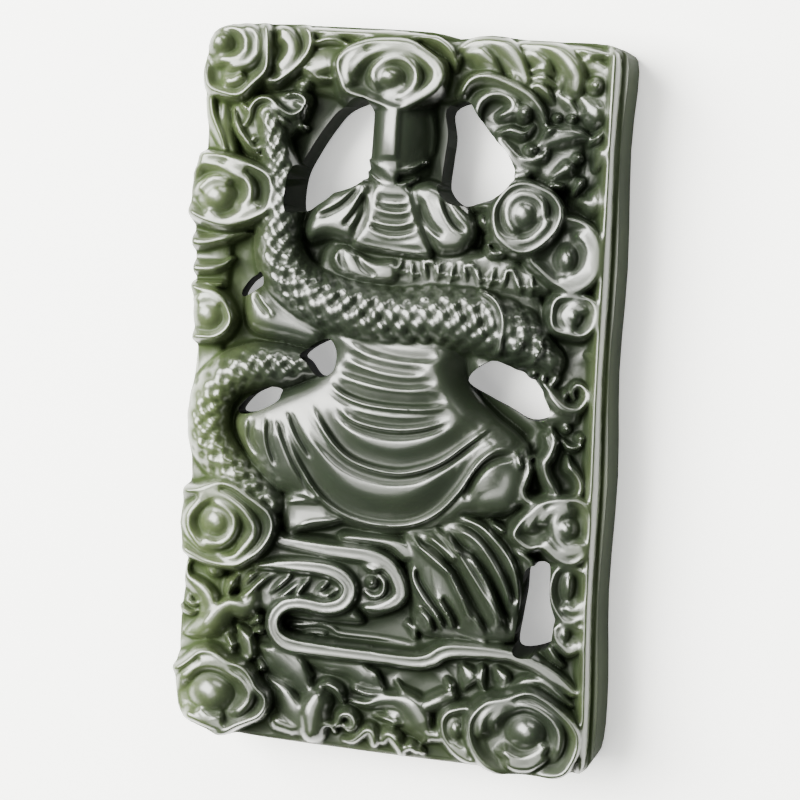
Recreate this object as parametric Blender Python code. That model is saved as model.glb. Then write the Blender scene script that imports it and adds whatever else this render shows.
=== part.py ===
# Carved jade plaque pendant, lying on its front with the carved back face up.
# Metres, Z up. X runs across the plaque, Y towards the end with the head.
import bpy
import bmesh
import numpy as np
from mathutils import Vector

for item in list(bpy.data.objects):
    bpy.data.objects.remove(item, do_unlink=True)

# Driving dimensions
plaqueLength = 0.063
plaqueWidth = 0.038
rimHeight = 0.008
edgeRound = 0.0007
underRound = 0.0005
borderWidth = 0.0042
underSink = 0.0006
cellSize = 0.00034
triangleBudget = 7500

# The carving is laid out on a drawing in which the rim is eight units high
layoutRim = 8.0
leanX, leanY = 0.26, 0.10  # how far a cut leans to the left and to the foot for each unit of depth


# Curves on the drawing
def fade(t):
    t = np.clip(t, 0, 1)
    return t * t * (3 - 2 * t)


def curve(points, steps=4, closed=False):
    p = np.asarray(points, float)
    p = np.vstack([p[-1:], p, p[:2]]) if closed else np.vstack([2 * p[0] - p[1], p, 2 * p[-1] - p[-2]])
    t = np.linspace(0, 1, steps, endpoint=False)[:, None]
    spans = [0.5 * (2 * b + (c - a) * t + (2 * a - 5 * b + 4 * c - d) * t**2 + (3 * b - a - 3 * c + d) * t**3)
             for a, b, c, d in zip(p, p[1:], p[2:], p[3:])]
    path = np.vstack(spans)
    return path if closed else np.vstack([path, p[-2]])


def swag(start, end, drop, fullness=1.1, count=11):
    t = np.linspace(0, 1, count)
    x = start[0] + (end[0] - start[0]) * t
    y = start[1] + (end[1] - start[1]) * t - drop * np.sin(np.pi * t)**fullness
    return np.column_stack([x, y])


# A height field that is carved stroke by stroke
class Relief:
    def __init__(self, cell, ground, halfX=20.0, halfY=33.0):
        self.xs = np.linspace(-halfX, halfX, int(round(2 * halfX / cell)) + 1)
        self.ys = np.linspace(-halfY, halfY, int(round(2 * halfY / cell)) + 1)
        self.x, self.y = np.meshgrid(self.xs, self.ys)
        self.z = np.full(self.x.shape, float(ground))

    def window(self, path, margin):
        low, high = path.min(0) - margin, path.max(0) + margin
        i, j = np.searchsorted(self.xs, (low[0], high[0])), np.searchsorted(self.ys, (low[1], high[1]))
        return np.s_[j[0]:j[1], i[0]:i[1]]

    def along(self, path, margin, closed=False):
        w = self.window(path, margin)
        x, y = self.x[w], self.y[w]
        nodes = np.vstack([path, path[:1]]) if closed else path
        steps = np.diff(nodes, axis=0)
        lengths = np.hypot(steps[:, 0], steps[:, 1])
        total, start = lengths.sum(), 0.0
        best, at, side = np.full(x.shape, 1e9), np.zeros_like(x), np.ones_like(x)
        for a, d, l in zip(nodes, steps, lengths):
            if l < 1e-9:
                continue
            t = np.clip(((x - a[0]) * d[0] + (y - a[1]) * d[1]) / l**2, 0, 1)
            px, py = x - a[0] - t * d[0], y - a[1] - t * d[1]
            r = np.hypot(px, py)
            near = r < best
            best[near], at[near] = r[near], ((start + t * l) / total)[near]
            side[near] = np.sign(d[0] * py - d[1] * px)[near]
            start += l
        return w, best, at, side, total

    def inside(self, path, margin=0.4):
        w, d, at, side, total = self.along(path, margin, closed=True)
        x, y = self.x[w], self.y[w]
        odd = np.zeros(x.shape, bool)
        for (ax, ay), (bx, by) in zip(path, np.roll(path, -1, 0)):
            if ay != by:
                odd ^= ((ay > y) != (by > y)) & (x < (bx - ax) * (y - ay) / (by - ay) + ax)
        return w, np.where(odd, d, -d)

    # a form that swells from edge height at its outline to top height over width
    def mound(self, points, edge, top, width, steps=4, blend=0.4):
        w, d = self.inside(curve(points, steps, closed=True), blend + 0.1)
        q = 1 - np.clip(d / width, 0, 1)
        z = np.where(d > 0, edge + (top - edge) * np.sqrt(1 - q**2), edge + 1.4 * d / blend)
        self.z[w] = np.maximum(self.z[w], np.where(d > -blend, z, -9))

    # a crest, or with a negative height a groove, along a line
    def ridge(self, points, height, width, ends=0.2, steps=4):
        w, d, at, side, total = self.along(curve(points, steps), width)
        taper = fade(np.minimum(at, 1 - at) / ends)
        p = np.clip(1 - d / width, 0, 1)
        self.z[w] += height * taper * p**2 * (3 - 2 * p)

    def tube(self, points, radii, axis, flat=1.0, steps=4):
        w, d, at, side, total = self.along(curve(points, steps), max(radii))
        r = np.interp(at, np.linspace(0, 1, len(radii)), radii)
        z = axis + flat * np.sqrt(np.clip(r**2 - d**2, 0, None))
        self.z[w] = np.where(d < r, np.maximum(self.z[w], z), self.z[w])

    def ball(self, cx, cy, rx, ry, base, height):
        w = self.window(np.array([(cx, cy)]), max(rx, ry))
        q = ((self.x[w] - cx) / rx)**2 + ((self.y[w] - cy) / ry)**2
        self.z[w] = np.maximum(self.z[w], np.where(q < 1, base + height * np.sqrt(np.clip(1 - q, 0, 1)), -9))

    # a cloud scroll: a crest that winds in to a round boss, which stands off the middle by shift
    def scroll(self, cx, cy, rx, ry, turns, start, hand, boss, top, depth, lobes=0, phase=0, shift=(0, 0),
               skirt=0.6):
        w = self.window(np.array([(cx, cy)]), max(rx, ry) * 1.35)
        dx, dy = (self.x[w] - cx) / rx, (self.y[w] - cy) / ry
        pull = np.clip(1 - np.hypot(dx, dy), 0, 1)
        dx, dy = dx - shift[0] / rx * pull, dy - shift[1] / ry * pull
        angle, rho = np.arctan2(dy, dx), np.hypot(dx, dy)
        if lobes:
            rho = rho / (1 + 0.06 * fade(rho) * np.cos(lobes * angle + np.radians(phase)))
        g = turns * (rho - boss) / (1 - boss) - hand * (angle - np.radians(start)) / (2 * np.pi)
        u = g - np.floor(g)
        z = top - depth * fade(u / 0.3) * (1 - fade((u - 0.3) / 0.7))
        ring = fade((rho - boss * 0.95) / (0.25 * boss))
        dome = top - 0.9 * depth + 1.3 * depth * np.sqrt(np.clip(1 - (rho / boss)**2, 0, 1))
        z = np.where(rho < boss * 1.2, np.maximum(np.where(rho < boss, dome, -9),
                                                  (top - 0.9 * depth) * (1 - ring) + z * ring), z)
        out = (rho - 1) * min(rx, ry) / skirt
        z = np.where(out > 0, top - 0.3 * depth - 2.2 * np.clip(out, 0, 1)**1.3, z)
        self.z[w] = np.maximum(self.z[w], np.where(out > 1, -9, z))


    # soften the tool marks over a short reach
    def polish(self, reach):
        n = int(3 * reach) + 1
        kernel = np.exp(-0.5 * (np.arange(-n, n + 1) / reach)**2)
        kernel /= kernel.sum()
        for axis in (0, 1):
            wide = np.pad(self.z, [(n, n) if a == axis else (0, 0) for a in (0, 1)], mode='edge')
            self.z = sum(k * np.take(wide, range(i, i + self.z.shape[axis]), axis) for i, k in enumerate(kernel))


# Outline of the plaque: nearly a rectangle, with soft corners and cloud scrolls that bulge at the left
outlinePoints = [(-17.3, 29.9), (-16.0, 31.0), (-13.0, 31.3), (-6.0, 31.3), (1.5, 31.1), (4.0, 30.6), (7.0, 30.9),
                 (11.0, 30.6), (15.5, 30.6), (17.6, 30.1), (18.4, 28.6), (18.1, 22.0), (18.4, 12.0), (18.2, 3.0),
                 (18.6, -6.0), (18.4, -16.0), (18.8, -24.0), (18.7, -29.2), (17.8, -30.9), (15.0, -31.3),
                 (6.0, -31.5), (-4.0, -31.4), (-12.0, -31.2), (-15.4, -30.7), (-17.6, -29.8), (-18.4, -27.5),
                 (-18.6, -21.0), (-18.0, -15.4), (-18.6, -12.4), (-18.1, -8.2), (-18.5, -2.5), (-18.0, 3.0),
                 (-18.4, 10.0), (-18.7, 17.0), (-17.8, 20.2), (-17.8, 27.0)]

outline = curve(outlinePoints, 3, True)[::-1]
unitX, unitY = plaqueWidth / np.ptp(outline[:, 0]), plaqueLength / np.ptp(outline[:, 1])
unitZ = rimHeight / layoutRim

# Openings cut right through: the clear outline seen from above, and the width of the wall on its left
openings = (
    ([(-2.9, 25.0), (-4.3, 25.2), (-5.7, 23.6), (-7.1, 21.4), (-8.2, 19.0), (-8.3, 16.0), (-7.1, 16.2),
      (-5.5, 17.3), (-3.4, 18.3), (-2.9, 21.0)], 1.6),
    ([(4.6, 25.5), (5.0, 23.3), (4.8, 21.0), (4.7, 18.8), (5.6, 17.5), (7.0, 17.2), (8.8, 17.8), (9.6, 19.3),
      (8.9, 21.2), (7.2, 22.8), (5.7, 25.0)], 1.6),
    ([(-12.2, 10.1), (-11.9, 9.6), (-12.5, 8.6), (-13.4, 8.0), (-13.6, 8.5), (-12.9, 9.6)], 0.2),
    ([(-7.7, 3.4), (-6.0, 4.7), (-5.2, 3.6), (-5.3, 2.0), (-6.1, 1.5), (-7.1, 2.7)], 0.4),
    ([(-13.4, -1.9), (-12.2, -0.4), (-10.9, 0.1), (-10.1, -0.8), (-11.2, -1.7), (-12.6, -2.2)], 0.4),
    ([(7.0, 2.1), (8.5, 3.8), (10.8, 2.9), (12.5, 1.8), (13.6, -0.2), (13.0, -1.0), (11.0, 0.0), (9.2, 0.8)], 0.3),
    ([(13.5, -13.2), (14.4, -13.6), (14.6, -15.8), (15.0, -18.6), (14.2, -20.8), (12.9, -20.6), (13.1, -18.0),
      (13.4, -15.6)], 1.2))

# Cloud scrolls: middle, half sizes, turns, start angle, hand, boss share, top height, groove depth, lobes, phase, shift
scrolls = (
    (-15.4, 28.6, 3.4, 3.3, 1.8, 90, 1, 0.27, 8.2, 0.9, 3, 40, (-1.0, 1.0)),
    (-11.2, 29.2, 2.8, 2.8, 1.6, 60, -1, 0.20, 7.5, 0.8, 0, 0, (-0.8, 0)),
    (-0.9, 27.3, 4.5, 2.5, 1.8, 200, 1, 0.24, 8.5, 0.9, 0, 0, (-0.3, 0)),
    (-15.0, 16.6, 3.9, 3.0, 1.6, 60, 1, 0.30, 8.4, 1.0, 3, 180, (-1.0, 0)),
    (-16.6, 6.3, 2.4, 2.3, 1.2, 90, 1, 0.45, 7.9, 0.9, 0, 0, (0, 0)),
    (11.0, 16.0, 3.0, 2.9, 1.7, 150, 1, 0.34, 8.4, 1.0, 0, 0, (-0.4, 0.3)),
    (14.7, 13.0, 2.8, 3.0, 1.6, 200, -1, 0.26, 7.8, 0.9, 0, 0, (0, 0)),
    (15.6, 8.1, 2.1, 1.7, 1.2, 0, 1, 0.38, 7.8, 0.8, 0, 0, (0, 0)),
    (-14.2, -12.1, 4.3, 3.7, 2.0, 120, 1, 0.27, 8.5, 1.0, 4, 20, (-0.8, 0.1)),
    (15.2, -10.0, 3.3, 2.4, 1.7, 180, -1, 0.26, 7.9, 0.9, 0, 0, (0.6, 0)),
    (16.2, -15.4, 1.9, 2.6, 1.2, 90, -1, 0.32, 7.6, 0.8, 0, 0, (0, 0)),
    (16.3, -19.4, 1.7, 1.8, 1.1, 90, -1, 0.35, 7.5, 0.8, 0, 0, (0, 0)),
    (-14.4, -27.2, 4.3, 3.7, 1.9, 60, 1, 0.32, 8.5, 1.0, 4, 200, (-0.6, 0)),
    (13.1, -27.5, 4.5, 3.7, 1.9, 170, -1, 0.30, 8.5, 1.0, 4, 150, (0.2, 0)))


def carveFrame(r):
    r.mound([(-19, 26), (-19, 32), (18, 32), (19, 26), (10, 26.2), (4, 25.6), (-4, 25.4), (-9, 26)], 5.6, 6.5, 1.5)
    r.mound([(-20, -32), (-20, 27), (-15.4, 27), (-14.6, 18), (-15.2, 4), (-15.6, -8), (-12, -32)], 5.6, 6.5, 1.5)
    r.mound([(20, -32), (20, 31), (17, 31), (15.4, 24), (13.6, 6), (14.2, -12), (15.8, -18), (12, -32)], 5.4, 6.4, 1.5)
    r.mound([(-20, -33), (20, -33), (20, -23), (10, -21.3), (-10, -22), (-20, -23)], 5.2, 6.0, 1.5)
    r.tube([(-19.5, 12.9), (-16.6, 12.2), (-13.2, 13.6)], [1.0], 6.3, 0.9)
    r.tube([(-19.5, 10.4), (-15.0, 10.4)], [1.1], 6.2, 0.9)


def carveFigure(r):
    r.mound([(-6.4, 12.4), (-3, 13.4), (5, 13.4), (9, 12.6), (12.6, 9.6), (12.5, 4.5), (6, 1), (-6, 1), (-6.6, 6)],
            5.8, 6.9, 2.0)
    r.mound([(-13.3, 8.1), (-12.3, 9.1), (-10, 8.4), (-6, 6), (-6.5, 4), (-9.5, 4.3), (-12.8, 5.2)], 5.3, 6.7, 1.6)
    # lap, with the far knee apart
    r.mound([(-10.4, -0.6), (-6.6, 1.4), (-5.2, 3.4), (-5.4, 6), (6, 6), (7, 2), (9.4, -0.6), (12, -2.6), (12.6, -5.5),
             (11.6, -8.6), (8, -9.6), (4, -10.8), (0.3, -11.6), (-4, -10.9), (-7.5, -9.4), (-10.4, -8.2),
             (-12.8, -5.4), (-13.6, -2.6)], 5.9, 8.4, 6.0)
    r.mound([(7.4, -4.6), (9.6, -3.2), (11.8, -3.7), (12.2, -6.5), (11, -8.9), (8.6, -9.3), (7.2, -8.2)], 6.0, 7.6, 2.0)
    # folds of the robe hang one inside the other: left end, right end, drop, height
    for start, end, drop, height in (((-9.3, -1.6), (11.2, -2.6), 8.6, 0.6), ((-6.9, -0.9), (10.2, -1.3), 4.9, 0.5),
                                     ((-4.8, -0.5), (6.0, -0.5), 2.6, 0.45), ((-5.2, 1.2), (5.2, 0.6), 1.5, 0.5),
                                     ((-4.3, 3.9), (4.8, 3.7), 1.6, 0.4)):
        fold = swag(start, end, drop)
        r.ridge(fold, height, 0.65, 0.12, 2)
        r.ridge(fold + (0, 0.8), -height, 0.6, 0.15, 2)
    for k in range(3):
        fold = np.array([(-11.6 + 1.3 * k, -2.4), (-11.2 + 1.9 * k, -4.9), (-10.1 + 2.2 * k, -7.0)])
        r.ridge(fold, 0.5, 0.6)
    # head in its cloth, a tall rounded block with bands at the neck
    r.tube([(0.1, 26.5), (0.1, 21), (-0.4, 17.6)], [3.0, 3.05, 2.6], 6.3, 0.8)
    for level in (20.4, 19.2):
        r.ridge(swag((-2.8, level), (2.6, level), 0.9), 0.45, 0.5, 0.1, 2)
    # three falls of cloth on the shoulders
    r.mound([(-3.2, 18.5), (-5.8, 17.4), (-7.2, 16.1), (-8.1, 14.1), (-7.2, 12.9), (-5.6, 13.4), (-3.6, 13),
             (-2.4, 15), (-2.2, 17.8)], 6.3, 7.8, 1.5)
    r.mound([(1, 17.9), (4.4, 18.2), (6.6, 15.9), (7, 14.2), (5.9, 12.9), (3.4, 12.6), (1.9, 14.9)], 6.3, 7.8, 1.5)
    r.mound([(-2.2, 18.4), (1, 18.4), (2.4, 15.2), (3.5, 12.2), (-0.2, 12.1), (-4.1, 12.9), (-2.8, 15.6)], 6.6, 7.7, 1)
    for level, reach in ((17.3, 1.4), (15.8, 1.9), (14.4, 2.6)):
        r.ridge(swag((-0.4 - reach, level), (-0.4 + reach, level), 0.4), 0.35, 0.5, 0.12, 2)
    for fold in ([(-7.2, 15.1), (-5, 16.3), (-3.3, 18)], [(3.7, 17.2), (5.1, 15), (5.9, 14.3)]):
        r.ridge(fold, -0.5, 0.5)


def carveRocks(r):
    r.mound([(2.4, -11), (5.5, -10), (9.4, -9.4), (12.2, -10.4), (13.4, -13), (13.7, -17), (12.4, -20.2), (8, -20.8),
             (3.2, -20.2), (3, -16), (1.2, -12.6)], 5.6, 7.3, 1.4)
    for k in range(5):
        ledge = np.array([(2.4 + 1.6 * k, -12.1 + 0.55 * k), (5.4 + 1.5 * k, -15.4 + 0.6 * k), (8.2 + 1.2 * k, -19.6 + 0.5 * k)])
        r.ridge(ledge, 0.5, 0.6)
        r.ridge(ledge + (0.85, 0.35), -0.6, 0.55)


def carveDragon(r):
    r.tube([(-11.8, 23.6), (-11.1, 21), (-10.4, 18), (-10.5, 15), (-10.5, 12.3), (-9.4, 9.9), (-7.2, 8.3), (-4, 7.4),
            (0, 6.9), (4, 7.3), (8, 7), (11, 5.9), (13.6, 4.2)],
           [1.3, 1.5, 1.7, 2.0, 2.3, 2.6, 2.8, 2.9, 2.9, 3.0, 3.0, 2.8, 1.5], 6.1)
    r.tube([(-7, 2.5), (-9.5, 2.2), (-12, 2.0), (-14.4, 1.1), (-15.9, -0.6), (-16.4, -2.6), (-16.2, -4.6),
            (-15, -6.4), (-13, -8.2), (-10.4, -10)], [1.2, 1.9, 2.1, 2.1, 2.1, 2.1, 2.1, 2.0, 1.9, 1.6], 6.0)
    # mane beside the neck, then head, brow and whiskers in the corner
    for line, height in (([(-10.4, 25.5), (-8.9, 25.3), (-9.2, 23.8), (-10.6, 24), (-12.2, 25.2), (-13.7, 23.2)], 1.0),
                         ([(-14.9, 24.3), (-14.5, 22.6), (-12, 19.8)], 0.9), ([(-17, 24.8), (-16.5, 22.5), (-15.6, 20.3)], 0.8)):
        r.ridge(line, height, 0.7, 0.12)
    r.mound([(6, 23.6), (8.4, 22.4), (9.9, 20.4), (12, 19.2), (15, 19), (15, 26), (12, 27.5), (8, 27.6), (5.4, 26)],
            5.6, 6.6, 1.5)
    for line, height in (([(5.2, 29.9), (6.5, 30.5), (8.5, 30), (10.3, 27.4)], 1.0), ([(10.1, 30.4), (12.5, 30.1), (15, 27.8), (14.4, 26.3)], 1.1),
                         ([(5.1, 26), (6.5, 27.5), (10.5, 26.2), (12.2, 23.5)], 1.2), ([(6.2, 24.2), (8, 26.4), (9.7, 24.8)], 0.9),
                         ([(8.3, 23), (10, 23), (11.2, 23.7)], 0.9), ([(12, 22.6), (13.4, 23.5), (15.8, 23.1)], 1.0),
                         ([(10.2, 21), (12.4, 21.2), (13.6, 19.8)], 0.8), ([(15.4, 21.4), (16.4, 20), (16.8, 17.4)], 0.8)):
        r.ridge(line, height, 0.75, 0.15)
    for cx, cy, size in ((10.3, 24.7, 0.9), (11, 21.7, 0.8), (16.1, 27.1, 1.0)):
        r.ball(cx, cy, size, size, 6.6, 1.4)


def carveWater(r):
    r.mound([(-12, -12.6), (-3, -12.2), (1.6, -13.6), (3.2, -16.8), (1.6, -19.6), (-2, -20), (-12, -19)], 5.4, 6.0, 1.0)
    r.tube([(-10.6, -15.2), (-6, -15.2), (-3.7, -15.6), (-2.6, -16.7), (-2.9, -18), (-4.2, -18.7), (-8.4, -18.9),
            (-9.6, -19.9), (-9.5, -21.2), (-8.2, -22.1), (-5.5, -22.5), (3.6, -22.6), (6, -21.2), (11, -21.2),
            (13.5, -21.9), (17, -23.6)], [0.85], 7.2, 0.6)
    r.tube([(-9, -13.1), (-5, -13.4), (-1, -13.7), (0.9, -14.6), (1.9, -16.3), (1.3, -18), (-0.6, -18.8)], [0.85], 7.0, 0.6)
    r.ball(-0.8, -16.2, 0.9, 0.8, 6.0, 1.3)
    r.ball(-15, -16.3, 1.0, 0.9, 6.2, 1.3)
    for k in range(4):
        x = -12.6 + 2.2 * k
        r.ridge([(x, -18.5 + 0.3 * k), (x + 2, -16.9 + 0.2 * k)], 0.9, 0.65)
    for line, height in (([(-17.2, -15.2), (-17.8, -16.4), (-15.6, -19), (-17, -22)], 1.1), ([(-16, -22), (-13.5, -19.2), (-11, -18)], 1.0),
                         ([(-10.5, -22.9), (-6.3, -26.2)], 0.9), ([(-9.5, -25.8), (-7, -29)], 0.9),
                         ([(-5.6, -28.6), (-5.9, -26.6), (-4.7, -25.4), (-3.1, -26.4)], 1.2), ([(-2, -25.8), (3.9, -26.5), (6.8, -25)], 1.0),
                         ([(-2, -27), (0, -26.8), (4.2, -29.2)], 1.0), ([(-3, -28.4), (-0.5, -29.5), (3.3, -30.2)], 1.0),
                         ([(6.2, -27), (6.3, -28.6), (9.6, -30.2)], 1.0), ([(13, 2.5), (14.6, 0.8), (16.4, 1.2), (15.8, 2.3)], 1.1),
                         ([(14.2, -1.7), (13.7, -4.5), (14.8, -7.4)], 1.1), ([(12.2, -4.2), (12.2, -7.6), (13.9, -7.6)], 1.0),
                         ([(15.6, -4), (16.7, -5.8), (15, -7.3)], 1.0)):
        r.ridge(line, height, 0.75, 0.12)


def carveBack(r):
    carveFrame(r)
    carveFigure(r)
    carveRocks(r)
    carveDragon(r)
    carveWater(r)
    for row in scrolls:
        r.scroll(*row)
    # plain rim down the right side
    r.mound([(17.4, 31), (21, 31), (21, -31), (18.2, -31), (17.6, -20), (17.4, 0)], 7.2, layoutRim, 0.9, 1)


# A closed block: the carved height field above, and a flat face well below the underside
def buildBlock(r):
    w, d = r.inside(outline, 1.0)
    reach = edgeRound / unitZ
    q = 1 - np.clip(d / reach, 0, 1)
    r.z[w] -= reach * (1 - np.sqrt(np.clip(1 - q**2, 0, 1)))
    upper = np.stack([r.x * unitX, r.y * unitY, r.z * unitZ], -1)
    lower = np.stack([r.x * unitX, r.y * unitY, np.full(r.z.shape, -rimHeight / 4)], -1)
    ny, nx = r.z.shape
    index = np.arange(nx * ny).reshape(ny, nx)
    a, b, c, e = index[:-1, :-1].ravel(), index[:-1, 1:].ravel(), index[1:, 1:].ravel(), index[1:, :-1].ravel()
    quads = [np.column_stack([a, b, c, e]), np.column_stack([a, e, c, b]) + nx * ny]
    edge = np.concatenate([index[0, :-1], index[:-1, -1], index[-1, :0:-1], index[:0:-1, 0]])
    after = np.roll(edge, -1)
    quads.append(np.column_stack([edge, edge + nx * ny, after + nx * ny, after]))
    points = np.vstack([upper.reshape(-1, 3), lower.reshape(-1, 3)])
    mesh = bpy.data.meshes.new('pendant')
    mesh.from_pydata(points.tolist(), [], np.vstack(quads).tolist())
    return mesh


# Cuts made in the upper side slope away below the level of the rim
def leanCuts(mesh):
    for vertex in mesh.vertices:
        if vertex.co.z > rimHeight / 2:
            depth = layoutRim - vertex.co.z / unitZ
            vertex.co.x -= leanX * depth * unitX
            vertex.co.y -= leanY * depth * unitY


# A closed solid through stacked rings of equal count, each running anticlockwise
def loft(name, rings):
    bm = bmesh.new()
    rows = [[bm.verts.new(Vector(v)) for v in ring] for ring in rings]
    for low, high in zip(rows, rows[1:]):
        for k in range(len(low)):
            n = (k + 1) % len(low)
            bm.faces.new((low[k], low[n], high[n], high[k]))
    bm.faces.new(rows[0][::-1])
    bm.faces.new(rows[-1])
    mesh = bpy.data.meshes.new(name)
    bm.to_mesh(mesh)
    bm.free()
    cutter = bpy.data.objects.new(name, mesh)
    bpy.context.scene.collection.objects.link(cutter)
    cutter.hide_render = True
    cutter.display_type = 'WIRE'
    return cutter


def anticlockwise(path):
    area = np.sum(path[:, 0] * np.roll(path[:, 1], -1) - path[:, 1] * np.roll(path[:, 0], -1))
    return path if area > 0 else path[::-1]


def outwardOf(path):
    step = np.roll(path, -1, 0) - np.roll(path, 1, 0)
    normal = np.column_stack([step[:, 1], -step[:, 0]])
    return normal / np.hypot(normal[:, 0], normal[:, 1])[:, None]


def outlineSolid(path):
    inner = path - outwardOf(path) * underRound / unitX
    rings = []
    for ring, level in ((inner, 0.0), (path, underRound), (path, 2 * rimHeight)):
        rings.append([(x * unitX, y * unitY, level) for x, y in ring])
    return loft('outlineSolid', rings)


# The hidden front is plainer: a flat border, and inside it a shallow seated figure
frontForms = (
    [(0, 24.6), (-2.6, 23.4), (-3.2, 20.6), (-2.2, 17.4), (2.2, 17.4), (3.2, 20.6), (2.6, 23.4)],
    [(-3, 17.8), (-6.6, 15.2), (-8, 9), (-6.6, 0.8), (6.6, 0.8), (8, 9), (6.6, 15.2), (3, 17.8)],
    [(-6, 1.4), (-11.6, -1.6), (-12.4, -6), (-8.4, -9.6), (0, -10.6), (8.4, -9.6), (12.4, -6), (11.6, -1.6), (6, 1.4)])


def roundedRectangle(halfX, halfY, corner, count=5):
    ring = []
    for quarter, (sx, sy) in enumerate(((1, 1), (-1, 1), (-1, -1), (1, -1))):
        for k in range(count):
            angle = (quarter + k / (count - 1)) * np.pi / 2
            ring.append((sx * (halfX - corner) + corner * np.cos(angle), sy * (halfY - corner) + corner * np.sin(angle)))
    return np.array(ring)


def recessCutter():
    slope = underSink * 1.5
    middle = (outline.min(0) + outline.max(0)) / 2 * (unitX, unitY)
    rings = []
    for inset, level in ((0, -underSink), (0, 0), (slope, underSink)):
        ring = roundedRectangle(plaqueWidth / 2 - borderWidth - inset, plaqueLength / 2 - borderWidth - inset,
                                borderWidth - inset)
        rings.append([(x, y, level) for x, y in ring + middle])
    return loft('recess', rings)


# Material left standing in the recess: it narrows towards its face
def frontForm(name, points):
    path = anticlockwise(curve(points, 3, True)) * (unitX, unitY)
    middle = path.mean(0)
    rings = []
    for share, rise in ((0.62, 0.85), (0.84, 0.6), (1, 0), (1, -0.6)):
        rings.append([(x, y, underSink * (1 - rise)) for x, y in middle + (path - middle) * share])
    return loft(name, rings)


def openingCutter(name, points, wall):
    path = anticlockwise(curve(points, 3, True))
    slope = np.array([leanX, leanY])
    towards = outwardOf(path) @ (slope / np.hypot(*slope))
    weight = fade(0.5 - 1.5 * towards)[:, None]
    for _ in range(2):
        weight = (np.roll(weight, 1, 0) + 2 * weight + np.roll(weight, -1, 0)) / 4
    top = path - weight * np.array([wall, 0.35 * wall])
    bottom = path - weight * slope * layoutRim
    rings = []
    for share in (-0.1, 1.2):
        ring = bottom + (top - bottom) * share
        rings.append([(x * unitX, y * unitY, share * rimHeight) for x, y in ring])
    return loft(name, rings)


def addModifier(item, kind, name, **values):
    modifier = item.modifiers.new(name, kind)
    for key, value in values.items():
        setattr(modifier, key, value)
    return modifier


def evaluatedMesh(item):
    bpy.context.view_layer.update()
    graph = bpy.context.evaluated_depsgraph_get()
    return bpy.data.meshes.new_from_object(item.evaluated_get(graph), depsgraph=graph)


def jadeMaterial():
    material = bpy.data.materials.new('jade')
    material.use_nodes = True
    shader = material.node_tree.nodes['Principled BSDF']
    shader.inputs['Base Color'].default_value = (0.055, 0.085, 0.06, 1.0)
    shader.inputs['Roughness'].default_value = 0.22
    shader.inputs['Metallic'].default_value = 0.0
    return material


# Build: carve the block, lighten its mesh, trim it to the outline, sink its front and open it
back = Relief(cellSize / unitX, 5.0)
carveBack(back)
back.polish(0.5)
pendant = bpy.data.objects.new('pendant', buildBlock(back))
bpy.context.scene.collection.objects.link(pendant)
faces = 2 * len(pendant.data.polygons)
addModifier(pendant, 'DECIMATE', 'lighten', ratio=triangleBudget / faces, use_collapse_triangulate=True)
lightened = evaluatedMesh(pendant)
leanCuts(lightened)
pendant.modifiers.clear()
pendant.data = lightened
addModifier(pendant, 'BOOLEAN', 'trim', operation='INTERSECT', solver='EXACT', object=outlineSolid(outline))
recess = recessCutter()
for number, points in enumerate(frontForms):
    addModifier(recess, 'BOOLEAN', 'leave', operation='DIFFERENCE', solver='EXACT',
                object=frontForm('form%d' % number, points))
addModifier(pendant, 'BOOLEAN', 'sink', operation='DIFFERENCE', solver='EXACT', object=recess)
for number, (points, wall) in enumerate(openings):
    addModifier(pendant, 'BOOLEAN', 'open', operation='DIFFERENCE', solver='EXACT',
                object=openingCutter('opening%d' % number, points, wall))
finished = evaluatedMesh(pendant)
pendant.modifiers.clear()
pendant.data = finished

# Stand the middle of the underside on the origin
places = np.array([v.co for v in finished.vertices])
middle = (places.min(0) + places.max(0)) / 2
for vertex in finished.vertices:
    vertex.co -= Vector((middle[0], middle[1], places[:, 2].min()))
finished.materials.clear()
finished.materials.append(jadeMaterial())
print('pendant', sum(len(p.vertices) - 2 for p in finished.polygons), 'triangles', places.max(0) - places.min(0))
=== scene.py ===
import math
import bpy
import numpy as np
from mathutils import Matrix, Vector


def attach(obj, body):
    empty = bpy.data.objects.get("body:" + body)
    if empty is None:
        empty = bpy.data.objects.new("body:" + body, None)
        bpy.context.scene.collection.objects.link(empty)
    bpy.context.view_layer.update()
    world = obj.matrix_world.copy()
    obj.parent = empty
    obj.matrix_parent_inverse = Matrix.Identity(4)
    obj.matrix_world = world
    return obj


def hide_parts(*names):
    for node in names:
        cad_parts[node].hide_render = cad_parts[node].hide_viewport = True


# Carved and pierced jade plaque, lying on its front with the carved back up.
# Metres, Z up. X runs across the plaque, Y towards the end with the head.

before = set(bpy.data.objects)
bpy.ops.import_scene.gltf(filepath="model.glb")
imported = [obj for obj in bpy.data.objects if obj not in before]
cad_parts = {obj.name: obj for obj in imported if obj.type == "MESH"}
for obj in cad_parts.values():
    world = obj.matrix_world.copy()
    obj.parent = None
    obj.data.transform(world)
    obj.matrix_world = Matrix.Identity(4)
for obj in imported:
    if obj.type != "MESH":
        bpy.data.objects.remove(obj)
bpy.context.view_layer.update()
bpy.ops.object.select_all(action="DESELECT")

# The carving is drawn on a sheet in its own units, in which the rim stands eight units high
drawing = {
    "length": 0.063, "width": 0.038, "rim": 8.0, "rimHeight": 0.008,
    "leanX": 0.26, "leanY": 0.10,  # how far a cut leans to the left and to the foot for each unit of depth
    "ground": 5.0,
}


# Curves on the drawing
def fade(t):
    t = np.clip(t, 0, 1)
    return t * t * (3 - 2 * t)


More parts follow.
